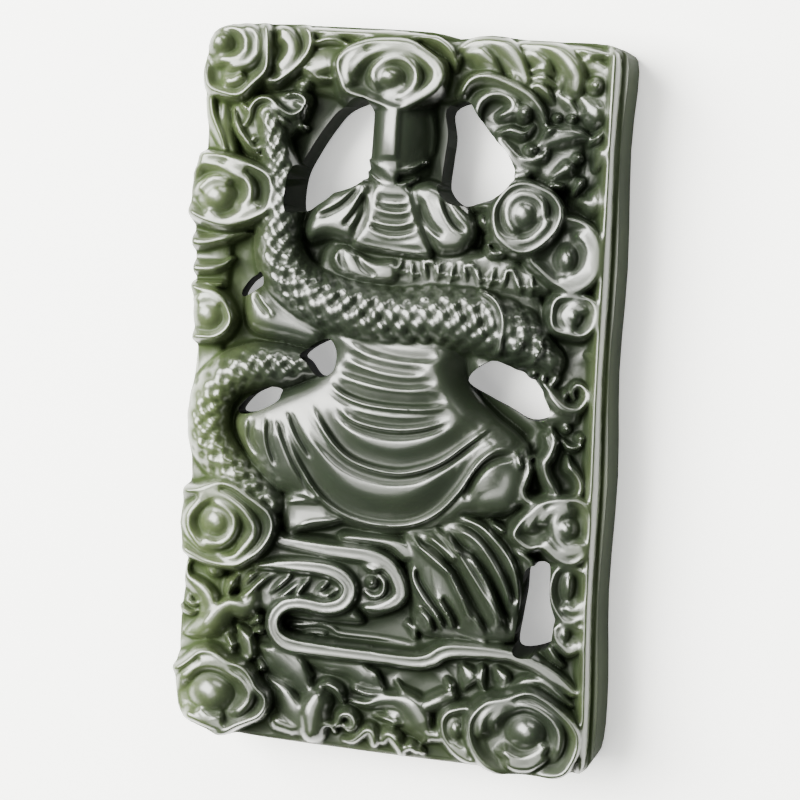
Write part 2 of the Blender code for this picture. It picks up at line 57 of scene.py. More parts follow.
def curve(points, steps=6, closed=False):
    p = np.asarray(points, float)
    p = np.vstack([p[-1:], p, p[:2]]) if closed else np.vstack([2 * p[0] - p[1], p, 2 * p[-1] - p[-2]])
    t = np.linspace(0, 1, steps, endpoint=False)[:, None]
    spans = [0.5 * (2 * b + (c - a) * t + (2 * a - 5 * b + 4 * c - d) * t**2 + (3 * b - a - 3 * c + d) * t**3)
             for a, b, c, d in zip(p, p[1:], p[2:], p[3:])]
    path = np.vstack(spans)
    return path if closed else np.vstack([path, p[-2]])


def beside(points, gap, steps=4):  # the same line, moved to its left by gap
    path = curve(points, steps)
    run = np.gradient(path, axis=0)
    run /= np.hypot(run[:, 0], run[:, 1])[:, None]
    return path + gap * np.column_stack([-run[:, 1], run[:, 0]])


# A height field that is carved stroke by stroke
class Relief:
    def __init__(self, xs, ys, ground):
        self.xs, self.ys = xs, ys
        self.x, self.y = np.meshgrid(xs, ys)
        self.z = np.full(self.x.shape, float(ground))
        self.cell = xs[1] - xs[0]

    def window(self, path, margin):
        low, high = path.min(0) - margin, path.max(0) + margin
        i, j = np.searchsorted(self.xs, (low[0], high[0])), np.searchsorted(self.ys, (low[1], high[1]))
        return np.s_[j[0]:j[1], i[0]:i[1]]

    # nearest place on a line: window, distance, share of the length, side, length and the place itself
    def along(self, path, margin, closed=False):
        w = self.window(path, margin)
        x, y = self.x[w], self.y[w]
        nodes = np.vstack([path, path[:1]]) if closed else path
        steps = np.diff(nodes, axis=0)
        lengths = np.hypot(steps[:, 0], steps[:, 1])
        total, start = lengths.sum(), 0.0
        best, at, side = np.full(x.shape, 1e9), np.zeros_like(x), np.ones_like(x)
        for a, d, l in zip(nodes, steps, lengths):
            if l < 1e-9:
                continue
            t = np.clip(((x - a[0]) * d[0] + (y - a[1]) * d[1]) / l**2, 0, 1)
            px, py = x - a[0] - t * d[0], y - a[1] - t * d[1]
            r = np.hypot(px, py)
            near = r < best
            best[near], at[near] = r[near], ((start + t * l) / total)[near]
            side[near] = np.sign(d[0] * py - d[1] * px)[near]
            start += l
        return w, best, at, side, total

    def inside(self, path, margin=0.4):
        w, d, at, side, total = self.along(path, margin, closed=True)
        x, y = self.x[w], self.y[w]
        odd = np.zeros(x.shape, bool)
        for (ax, ay), (bx, by) in zip(path, np.roll(path, -1, 0)):
            if ay != by:
                odd ^= ((ay > y) != (by > y)) & (x < (bx - ax) * (y - ay) / (by - ay) + ax)
        return w, np.where(odd, d, -d)

    def mound(self, points, edge, top, width, steps=6, blend=0.3):  # swells from its outline over a width
        w, d = self.inside(curve(points, steps, closed=True), blend + 0.1)
        q = 1 - np.clip(d / width, 0, 1)
        z = np.where(d > 0, edge + (top - edge) * np.sqrt(1 - q**2), edge + 1.3 * d / blend)
        self.z[w] = np.maximum(self.z[w], np.where(d > -blend, z, -9))

    # a crest, or below zero a groove; width is its reach to the left of the line, far to the right
    def ridge(self, points, height, width, far=None, ends=0.2, steps=5):
        far = width if far is None else far
        w, d, at, side, total = self.along(curve(points, steps), max(width, far))
        taper = fade(np.minimum(at, 1 - at) / ends)
        p = np.clip(1 - d / np.where(side > 0, width, far), 0, 1)
        self.z[w] += height * taper * p**2 * (3 - 2 * p)

    # a cloth edge that hangs over what is below it: a soft roll down to a groove, then a thin lip
    def fold(self, points, depth, roll=1.0, lines=2, gap=0.66, ends=0.2):
        self.ridge(points, -depth, roll, 0.4, ends)
        for k in range(lines):
            self.ridge(beside(points, -gap * (k + 0.55)), 0.45 * depth, 0.4, 0.4, ends, 1)
            self.ridge(beside(points, -gap * (k + 1.05)), -0.45 * depth, 0.38, 0.38, ends, 1)

    # a strip with a rounded, sloping or scooped face; peak shifts its crest to the left (1) or right (-1)
    def blade(self, points, widths, base, height, peak=0.0, left=2.0, right=2.0, scoop=0.0, steps=6):
        w, d, at, side, total = self.along(curve(points, steps), max(widths))
        r = np.maximum(np.interp(at, np.linspace(0, 1, len(widths)), widths), 1e-3)
        t = np.clip(d * side / r, -1, 1)
        rise, fall = (t + 1) / (1 + peak), (1 - t) / (1 - peak)
        share = np.clip(np.where(t < peak, rise, fall), 0, 1)
        bend = np.where(t < peak, right, left)
        face = np.where(bend > 0, 1 - (1 - share)**np.abs(bend), share**np.abs(bend))
        z = base + height * face * np.sqrt(r / max(widths)) - scoop * (1 - t * t) * (r / max(widths))
        hit = (d < r) & (z > self.z[w])
        self.z[w] = np.where(hit, z, self.z[w])
        return w, d * side, at * total, r, hit

    # tongues and curls, each with its line, half widths, height and the side of its crest
    def tongues(self, strokes, swell, base, lift=1.0):
        for points, widths, height, peak in strokes:
            self.blade(points, [swell * width for width in widths], base, lift * height, peak, 2.5, 2.5)

    def scales(self, body, pitch, rows, height):  # beads in a diamond lattice round a tube
        w, across, run, r, hit = body
        u = np.arcsin(np.clip(across / r, -0.999, 0.999)) / np.pi * rows
        s = run / pitch
        bead = np.zeros_like(u)
        for shift in (0.0, 0.5):
            i, j = np.round(s - shift), np.round(u - shift)
            a = s - shift - i + 0.1 * np.sin(12.9 * i + 4.1 * j + 9 * shift)
            b = u - shift - j + 0.08 * np.sin(7.3 * i - 9.7 * j + 5 * shift)
            size = 1 + 0.16 * np.sin(5.3 * i + 8.9 * j + 7 * shift)
            bead = np.maximum(bead, np.clip(1 - (a / (0.45 * size))**2 - (b / (0.50 * size))**2, 0, 1)**0.7)
        self.z[w] += np.where(hit, height * (bead - 0.5) * fade((1 - np.abs(across / r)) / 0.15), 0)

    def ball(self, cx, cy, rx, ry, base, height, turn=0.0):
        w = self.window(np.array([(cx, cy)]), max(rx, ry))
        dx, dy = self.x[w] - cx, self.y[w] - cy
        c, s = math.cos(math.radians(turn)), math.sin(math.radians(turn))
        q = ((dx * c + dy * s) / rx)**2 + ((dy * c - dx * s) / ry)**2
        self.z[w] = np.maximum(self.z[w], np.where(q < 1, base + height * np.sqrt(np.clip(1 - q, 0, 1)), -9))

    # a cloud: from its lip the face scoops down to the next lip nearer to the round boss
    def cloud(self, boss, crests, outer, top, depth, reach=1.0, skirt=0.5):
        bx, by, bw, bh = boss
        w, d = self.inside(curve(outer, 6, True), skirt + 0.1)
        x, y = self.x[w], self.y[w]
        floor = top - depth
        z = floor + depth * (1 - np.clip((d - 0.3) / reach, 0, 1))**1.5
        for line in crests:
            path = curve(line)
            v, near, at, side, total = self.along(path, reach)
            taper = fade(np.minimum(at, 1 - at) / 0.15)
            # the side of the line on which the boss lies slopes gently
            k = np.argmin(np.hypot(path[:, 0] - bx, path[:, 1] - by))
            a, b = path[max(k - 1, 0)], path[min(k + 1, len(path) - 1)]
            facing = np.sign((b[0] - a[0]) * (by - a[1]) - (b[1] - a[1]) * (bx - a[0]))
            inner = side == facing
            p = np.clip(1 - (near - 0.26) / np.where(inner, reach, 0.42), 0, 1)
            lip = floor + 0.95 * depth * taper * np.where(inner, p**1.6, p**2 * (3 - 2 * p))
            full = np.full(self.x.shape, -9.0)
            full[v] = lip
            z = np.maximum(z, full[w])
        q = ((x - bx) / bw)**2 + ((y - by) / bh)**2
        z = np.maximum(z, floor + 1.2 * depth * np.clip(1 - q / 1.5, 0, 1)**0.8)
        z = np.where(d < 0, top - 2.4 * np.clip(-d / skirt, 0, 1)**1.4, z)
        self.z[w] = np.maximum(self.z[w], np.where(d > -skirt, z, -9))

    def polish(self, reach):  # softens the tool marks
        reach = reach / self.cell
        n = int(3 * reach) + 1
        kernel = np.exp(-0.5 * (np.arange(-n, n + 1) / reach)**2)
        kernel /= kernel.sum()
        for axis in (0, 1):
            wide = np.pad(self.z, [(n, n) if a == axis else (0, 0) for a in (0, 1)], mode="edge")
            count = self.z.shape[axis]
            self.z = sum(share * np.take(wide, range(k, k + count), axis) for k, share in enumerate(kernel))

    def at(self, x, y, field):  # a field's value at any place
        i = np.clip((x - self.xs[0]) / self.cell, 0, len(self.xs) - 1.001)
        j = np.clip((y - self.ys[0]) / (self.ys[1] - self.ys[0]), 0, len(self.ys) - 1.001)
        i0, j0 = i.astype(int), j.astype(int)
        a, b = i - i0, j - j0
        return ((field[j0, i0] * (1 - a) + field[j0, i0 + 1] * a) * (1 - b)
                + (field[j0 + 1, i0] * (1 - a) + field[j0 + 1, i0 + 1] * a) * b)


# Outline of the plaque: nearly a rectangle, with soft corners and cloud scrolls that bulge at the left
outlinePoints = [(-17.3, 29.9), (-16.0, 31.0), (-13.0, 31.3), (-6.0, 31.3), (1.5, 31.1), (4.0, 30.6),
                 (7.0, 30.9), (11.0, 30.6), (15.5, 30.6), (17.6, 30.1), (18.4, 28.6), (18.1, 22.0),
                 (18.4, 12.0), (18.2, 3.0), (18.6, -6.0), (18.4, -16.0), (18.8, -24.0), (18.7, -29.2),
                 (17.8, -30.9), (15.0, -31.3), (6.0, -31.5), (-4.0, -31.4), (-12.0, -31.2), (-15.4, -30.7),
                 (-17.6, -29.8), (-18.4, -27.5), (-18.6, -21.0), (-18.0, -15.4), (-18.6, -12.4),
                 (-18.1, -8.2), (-18.5, -2.5), (-18.0, 3.0), (-18.4, 10.0), (-18.7, 17.0), (-17.8, 20.2),
                 (-17.8, 27.0)]
outline = curve(outlinePoints, 3, True)[::-1]
unitX, unitY = drawing["width"] / np.ptp(outline[:, 0]), drawing["length"] / np.ptp(outline[:, 1])
unitZ = drawing["rimHeight"] / drawing["rim"]
middleX = (outline[:, 0].min() + outline[:, 0].max()) / 2
middleY = (outline[:, 1].min() + outline[:, 1].max()) / 2

# Openings cut right through: the clear outline seen from above, and the width of the wall on its left
openings = (
    ([(-2.9, 25.0), (-4.3, 25.2), (-5.7, 23.6), (-7.1, 21.4), (-8.2, 19.0), (-8.3, 16.0), (-7.1, 16.2),
      (-5.5, 17.3), (-3.4, 18.3), (-2.9, 21.0)], 1.6),
    ([(4.6, 25.5), (5.0, 23.3), (4.8, 21.0), (4.7, 18.8), (5.6, 17.5), (7.0, 17.2), (8.8, 17.8), (9.6, 19.3),
      (8.9, 21.2), (7.2, 22.8), (5.7, 25.0)], 1.6),
    ([(-12.2, 10.1), (-11.9, 9.6), (-12.5, 8.6), (-13.4, 8.0), (-13.6, 8.5), (-12.9, 9.6)], 0.2),
    ([(-7.7, 3.4), (-6.0, 4.7), (-5.2, 3.6), (-5.3, 2.0), (-6.1, 1.5), (-7.1, 2.7)], 0.4),
    ([(-13.4, -1.9), (-12.2, -0.4), (-10.9, 0.1), (-10.1, -0.8), (-11.2, -1.7), (-12.6, -2.2)], 0.4),
    ([(7.0, 2.1), (8.5, 3.8), (10.8, 2.9), (12.5, 1.8), (13.6, -0.2), (13.0, -1.0), (11.0, 0.0), (9.2, 0.8)],
     0.3),
    ([(13.5, -13.2), (14.4, -13.6), (14.6, -15.8), (15.0, -18.6), (14.2, -20.8), (12.9, -20.6), (13.1, -18.0),
      (13.4, -15.6)], 1.2))

# Cloud scrolls: boss (middle and half sizes), lips that wind round it, outline, top, depth
clouds = (
    # top left corner
    ((-16.4, 29.6, 1.15, 1.1),
     ([(-17.5, 29.2), (-17.3, 30.4), (-16.3, 31.0), (-15.0, 30.9), (-14.1, 30.1), (-13.9, 29.2),
       (-14.4, 28.4), (-15.4, 28.1), (-16.6, 28.1), (-17.4, 28.5)],
      [(-15.2, 31.4), (-13.7, 30.9), (-13.0, 30.0), (-13.0, 28.8), (-13.7, 27.9), (-15.0, 27.6),
       (-16.3, 27.4)],
      [(-16.1, 26.2), (-15.0, 26.3), (-13.9, 26.9)]),
     [(-18.6, 29.5), (-18.0, 27.2), (-17.4, 25.7), (-16.0, 25.1), (-14.4, 25.0), (-13.2, 26.0), (-12.0, 27.3),
      (-11.9, 29.0), (-12.1, 31.0), (-13.0, 32.6), (-17.0, 32.6), (-19.0, 31.5)], 8.2, 0.95),
    # half cloud beside it
    ((-12.2, 29.0, 0.8, 1.1),
     ([(-11.6, 30.5), (-10.5, 30.1), (-10.0, 29.2), (-10.6, 28.1), (-11.6, 27.4)],
      [(-11.8, 31.0), (-10.4, 30.7), (-9.6, 29.5), (-10.2, 28.1), (-11.6, 27.0)]),
     [(-12.4, 32.4), (-9.6, 32.0), (-8.3, 30.8), (-8.2, 29.4), (-8.9, 28.2), (-10.0, 27.1), (-11.4, 26.3),
      (-12.4, 26.8), (-13.0, 29.5)], 7.6, 0.9),
    # over the head, a broad oval
    ((-1.3, 27.15, 1.25, 1.0),
     ([(-1.2, 25.9), (-2.2, 26.3), (-2.7, 27.1), (-2.4, 27.9), (-1.4, 28.6), (-0.3, 28.7), (0.7, 28.1),
       (1.1, 27.1), (0.6, 26.0), (-0.4, 25.45), (-2.0, 25.5)],
      [(-3.5, 25.8), (-4.3, 26.5), (-4.6, 27.3), (-4.0, 28.3), (-2.8, 29.1), (-1.0, 29.55), (0.3, 29.4),
       (1.4, 28.9), (2.4, 28.1), (2.75, 27.3), (2.3, 26.4), (1.2, 25.5), (0.2, 24.95), (-1.0, 24.95),
       (-2.0, 25.2)],
      [(-3.0, 29.7), (-4.4, 28.9), (-5.0, 28.0), (-4.9, 26.9), (-4.3, 25.9)]),
     [(-6.0, 28.2), (-5.6, 26.5), (-5.0, 25.6), (-3.4, 25.1), (-2.2, 24.7), (-1.0, 24.4), (0.2, 24.5),
      (1.6, 25.2), (2.9, 26.1), (3.5, 27.3), (3.0, 28.5), (1.8, 29.4), (0.3, 30.1), (-1.5, 30.2),
      (-3.4, 30.0), (-5.0, 29.4)], 8.5, 0.95),
    # left, above the arm
    ((-16.1, 16.4, 1.5, 1.35),
     ([(-17.7, 16.2), (-17.4, 17.2), (-16.4, 17.9), (-15.4, 17.8), (-14.8, 17.2)],
      [(-17.5, 15.7), (-16.6, 14.8), (-15.6, 14.3), (-14.6, 14.5), (-13.6, 15.1), (-12.6, 15.6),
       (-12.0, 16.6)],
      [(-18.9, 17.5), (-17.9, 19.1), (-16.5, 19.2), (-15.3, 18.8), (-14.3, 18.3), (-13.5, 18.0),
       (-13.0, 17.0), (-13.3, 16.0), (-14.1, 15.4), (-15.0, 15.0)],
      [(-15.6, 19.5), (-14.6, 19.1), (-13.4, 18.6)]),
     [(-19.6, 18.0), (-18.4, 19.7), (-16.8, 20.1), (-15.0, 19.9), (-13.6, 19.5), (-12.2, 19.0), (-11.3, 18.3),
      (-11.0, 17.0), (-11.4, 15.5), (-12.2, 14.8), (-13.6, 14.2), (-15.2, 13.8), (-17.2, 14.2),
      (-19.6, 15.6)], 8.4, 1.0),
    # left, below it
    ((-16.6, 6.2, 1.35, 1.35),
     ([(-17.9, 6.9), (-17.1, 7.6), (-16.2, 7.6), (-15.3, 6.8)],),
     [(-19.4, 8.6), (-17.4, 8.5), (-16.0, 8.3), (-15.0, 7.5), (-14.3, 6.0), (-14.7, 4.9), (-15.6, 4.2),
      (-16.8, 4.0), (-19.4, 4.5)], 7.9, 0.9),
    # right of the shoulder
    ((10.7, 16.25, 1.3, 1.35),
     ([(11.6, 15.0), (12.3, 16.0), (12.3, 17.1), (11.6, 17.75), (10.5, 17.9), (9.6, 17.3), (9.3, 16.3),
       (9.6, 15.2), (10.4, 14.7), (11.2, 14.8)],
      [(8.0, 16.4), (8.3, 15.1), (9.0, 14.2), (10.2, 13.9), (11.3, 14.1), (12.2, 14.8), (12.8, 15.9),
       (12.9, 16.9)]),
     [(8.0, 16.2), (8.4, 17.4), (9.3, 18.5), (10.5, 18.95), (11.8, 18.7), (13.2, 18.0), (14.0, 16.7),
      (13.7, 15.2), (12.9, 14.1), (11.9, 13.3), (10.7, 12.9), (9.4, 13.3), (8.3, 14.3)], 8.4, 1.0),
    # right, lower
    ((14.55, 12.7, 0.85, 1.15),
     ([(14.7, 14.95), (15.5, 14.8), (16.2, 14.1), (16.5, 13.1), (16.2, 12.0), (15.6, 11.4), (14.8, 11.2),
       (14.0, 11.6)],
      [(14.9, 15.6), (16.0, 15.2), (16.8, 14.1), (16.9, 12.6), (16.4, 11.5), (15.5, 10.8), (14.3, 11.0),
       (13.5, 12.0)]),
     [(13.0, 15.6), (14.2, 16.2), (15.4, 16.1), (16.8, 15.3), (17.4, 13.5), (17.3, 11.8), (16.7, 10.7),
      (15.8, 10.1), (14.8, 10.0), (13.5, 10.6), (12.2, 11.6), (11.3, 12.5), (11.8, 13.3),
      (12.6, 14.3)], 7.8, 0.9),
    ((15.35, 8.05, 0.75, 0.8),
     ([(16.1, 7.1), (15.2, 7.1), (14.6, 7.8), (14.8, 8.5), (15.4, 8.9), (16.2, 8.7), (16.7, 8.0)],),
     [(14.0, 9.7), (13.4, 8.8), (13.4, 7.4), (13.8, 6.7), (14.8, 6.4), (16.2, 6.3), (17.1, 7.0), (17.4, 8.4),
      (16.9, 9.6), (15.5, 9.8)], 7.7, 0.85),
    # left, under the coil
    ((-15.0, -11.9, 1.35, 1.35),
     ([(-16.1, -10.9), (-15.4, -10.35), (-14.5, -10.4), (-13.6, -11.1), (-13.3, -12.1), (-13.8, -13.3),
       (-14.8, -13.9), (-15.9, -13.7), (-16.8, -12.9)],
      [(-16.2, -15.1), (-14.6, -15.1), (-13.3, -14.9), (-12.4, -14.1), (-11.6, -13.0), (-11.5, -12.1),
       (-12.3, -10.9), (-13.3, -10.1), (-14.4, -9.55), (-15.5, -9.6), (-16.8, -10.5), (-17.6, -11.8),
       (-17.3, -13.1), (-16.2, -14.2), (-14.8, -14.5), (-13.6, -14.2)],
      [(-17.0, -10.2), (-15.8, -9.3), (-14.4, -9.1)]),
     [(-19.6, -10.0), (-18.4, -9.3), (-17.0, -9.1), (-15.8, -8.6), (-14.7, -8.3), (-13.4, -8.6),
      (-12.2, -9.3), (-11.2, -9.9), (-10.2, -10.6), (-9.7, -11.7), (-10.0, -13.0), (-10.8, -14.2),
      (-11.8, -15.0), (-13.2, -15.8), (-15.4, -15.7), (-17.0, -15.2), (-19.6, -13.6)], 8.5, 0.95),
    # right, beside the lap
    ((15.75, -9.85, 0.95, 1.0),
     ([(16.9, -8.6), (16.0, -8.3), (15.2, -8.6), (14.8, -9.5), (15.0, -10.6), (15.8, -11.3), (16.7, -11.2),
       (17.3, -10.4)],
      [(13.7, -10.0), (13.8, -9.2), (14.3, -8.5), (15.2, -8.0), (16.4, -7.8)],
      [(17.6, -10.4), (17.0, -11.5), (16.2, -11.9), (15.2, -11.9), (14.4, -11.4), (13.7, -10.4)],
      [(12.6, -10.6), (12.7, -9.5), (13.3, -8.6), (14.2, -7.9)]),
     [(11.2, -10.9), (11.6, -9.7), (12.5, -8.6), (13.6, -7.7), (15.4, -7.2), (17.0, -7.3), (18.0, -8.4),
      (18.2, -10), (17.8, -11.7), (16.6, -12.8), (15.0, -12.6), (13.8, -11.7), (12.6, -11.9)], 7.9, 0.9),
    ((16.2, -14.6, 0.55, 1.3),
     ([(15.7, -16.2), (16.5, -16.7), (17.3, -16.5), (17.7, -15.6)],),
     [(15.1, -13.2), (14.6, -14.5), (14.6, -15.6), (15.0, -16.7), (15.8, -17.7), (16.9, -17.8), (17.9, -17.0),
      (18.2, -15.0), (17.8, -13.4), (16.4, -12.9)], 7.6, 0.9),
    ((16.1, -18.8, 0.5, 0.8),
     ([(15.6, -19.3), (16.3, -20.0), (17.1, -19.9), (17.6, -19.2)],),
     [(15.3, -18.1), (15.2, -19.2), (15.9, -20.2), (16.8, -20.6), (17.8, -19.7), (18.0, -18.4),
      (16.8, -17.8)], 7.5, 0.8),
    # bottom left corner
    ((-14.9, -27.25, 1.75, 1.6),
     ([(-16.2, -28.5), (-15.6, -29.1), (-14.6, -29.5), (-13.4, -29.3)],
      [(-17.5, -27.6), (-17.7, -26.4), (-17.0, -25.6), (-16.2, -24.9), (-15.1, -24.6), (-13.9, -24.8),
       (-12.9, -25.3), (-12.1, -25.7), (-11.3, -26.8), (-11.6, -27.9), (-12.6, -28.8), (-14.0, -29.1)],
      [(-16.4, -24.5), (-15.2, -24.2), (-14.0, -24.4), (-13.0, -24.9)],
      [(-17.6, -29.2), (-16.4, -29.5), (-15.2, -29.9), (-14.0, -30.1), (-13.1, -29.6)]),
     [(-19.6, -25.6), (-18.2, -25.1), (-17.0, -24.2), (-16.4, -23.6), (-15.5, -23.3), (-14.5, -23.5),
      (-13.4, -24.1), (-12.2, -24.4), (-11.3, -25.1), (-10.6, -26.2), (-9.8, -26.9), (-9.7, -27.9),
      (-10.3, -28.9), (-11.4, -29.5), (-12.6, -30.1), (-13.6, -30.8), (-15.6, -31.6),
      (-19.6, -31.0)], 8.5, 1.05),
    # bottom right corner
    ((13.35, -27.5, 1.45, 1.4),
     ([(10.3, -28.4), (10.3, -27.1), (11.0, -26.0), (12.0, -25.4), (13.2, -25.1), (14.5, -25.5),
       (15.7, -26.4), (16.2, -27.7), (15.9, -29.1), (15.0, -30.0)],
      [(10.9, -28.9), (11.8, -29.6), (12.8, -29.9), (13.8, -29.6), (14.7, -28.9), (15.1, -27.8)],
      [(11.3, -29.9), (12.4, -30.5), (13.5, -30.5), (14.6, -29.8), (15.2, -28.9)],
      [(9.6, -28.8), (9.3, -27.4), (9.9, -26.1), (11.4, -25.1), (12.8, -24.6)]),
     [(8.3, -28.6), (8.2, -27.2), (8.8, -26.0), (9.8, -25.1), (11.4, -24.6), (13.2, -23.9), (14.6, -24.3),
      (16.0, -25.2), (17.3, -26.4), (17.9, -27.8), (17.4, -29.7), (16.2, -31.2), (13.0, -32.2), (10.4, -31.2),
      (9.0, -30.0)], 8.5, 1.05),
    # low lobe on its left
    ((7.2, -28.0, 0.7, 0.9),
     ([(6.6, -29.2), (7.6, -29.8), (8.8, -30.0)],),
     [(5.8, -27.8), (6.1, -26.8), (7.0, -26.2), (8.6, -26.0), (9.4, -28.0), (10.2, -30.4), (8.6, -30.8),
      (7.2, -30.2), (6.2, -29.1)], 7.6, 0.8))


def carveFrame(r):
    r.mound([(-19, 26), (-19, 32), (18, 32), (19, 26), (10, 26.2), (4, 25.6), (-4, 25.4), (-9, 26)],
            5.4, 6.1, 1.5)
    r.mound([(-20, -32), (-20, 27), (-15.4, 27), (-14.6, 18), (-15.2, 4), (-15.6, -8), (-12, -32)],
            5.4, 6.1, 1.5)
    r.mound([(20, -32), (20, 31), (17, 31), (15.4, 24), (13.6, 6), (14.2, -12), (15.8, -18), (12, -32)],
            5.2, 5.9, 1.5)
    r.mound([(-20, -33), (20, -33), (20, -23), (10, -21.3), (-10, -22), (-20, -23)], 5.2, 5.8, 1.5)
    # waves between the clouds on the left side
    r.blade([(-20, 13.0), (-17.6, 12.6), (-15.6, 13.0), (-13.0, 13.6)], [1.0, 1.0, 0.8, 0.1], 5.6, 1.7, -0.3)
    r.blade([(-20, 10.5), (-17.4, 10.3), (-15.6, 10.6), (-14.6, 11.3)], [0.9, 0.9, 0.8, 0.2], 5.6, 1.5, -0.3)
    r.blade([(-20, 8.9), (-15.4, 8.9)], [0.3, 0.3], 6.4, 1.0)
    # strips up the left side and along the top
    r.blade([(-17.3, 24.9), (-17.0, 23.4), (-16.2, 21.7), (-15.6, 20.2)], [0.7, 0.6, 0.5, 0.3], 6.2, 1.2, 0.5)
    r.blade([(-16.0, 25.0), (-15.9, 22.6), (-15.0, 20.6)], [0.7, 0.9, 0.5], 6.0, 0.8)
    r.blade([(-8.2, 29.8), (-6.6, 30.2), (-4.8, 29.8)], [0.3, 0.4, 0.2], 6.6, 1.0)
    r.blade([(-8.0, 28.2), (-7.0, 28.6), (-5.9, 29.0)], [1.4, 1.5, 0.9], 6.2, 1.2, -0.5, 2.0, 2.0)
    r.blade([(-8.7, 27.5), (-7.4, 26.9), (-5.8, 27.0)], [0.35, 0.4, 0.2], 6.2, 1.2)
    r.ball(-8.8, 26.4, 0.8, 0.6, 6.0, 1.0)
    r.blade([(-8.0, 30.9), (-4, 30.8), (0, 30.8), (2.0, 30.7)], [0.5, 0.5, 0.6, 0.3], 6.6, 0.8)
    r.blade([(1.1, 30.7), (2.6, 30.4), (3.9, 29.4), (4.4, 28.0)], [0.1, 0.55, 0.5, 0.1], 6.6, 1.2, 0.5)
    r.blade([(2.8, 29.3), (3.5, 28.6), (3.9, 27.8)], [0.05, 0.25, 0.05], 6.6, 1.0)
    r.blade([(4.7, 29.6), (4.6, 28.8), (4.5, 28.0)], [0.05, 0.25, 0.05], 6.4, 1.0)


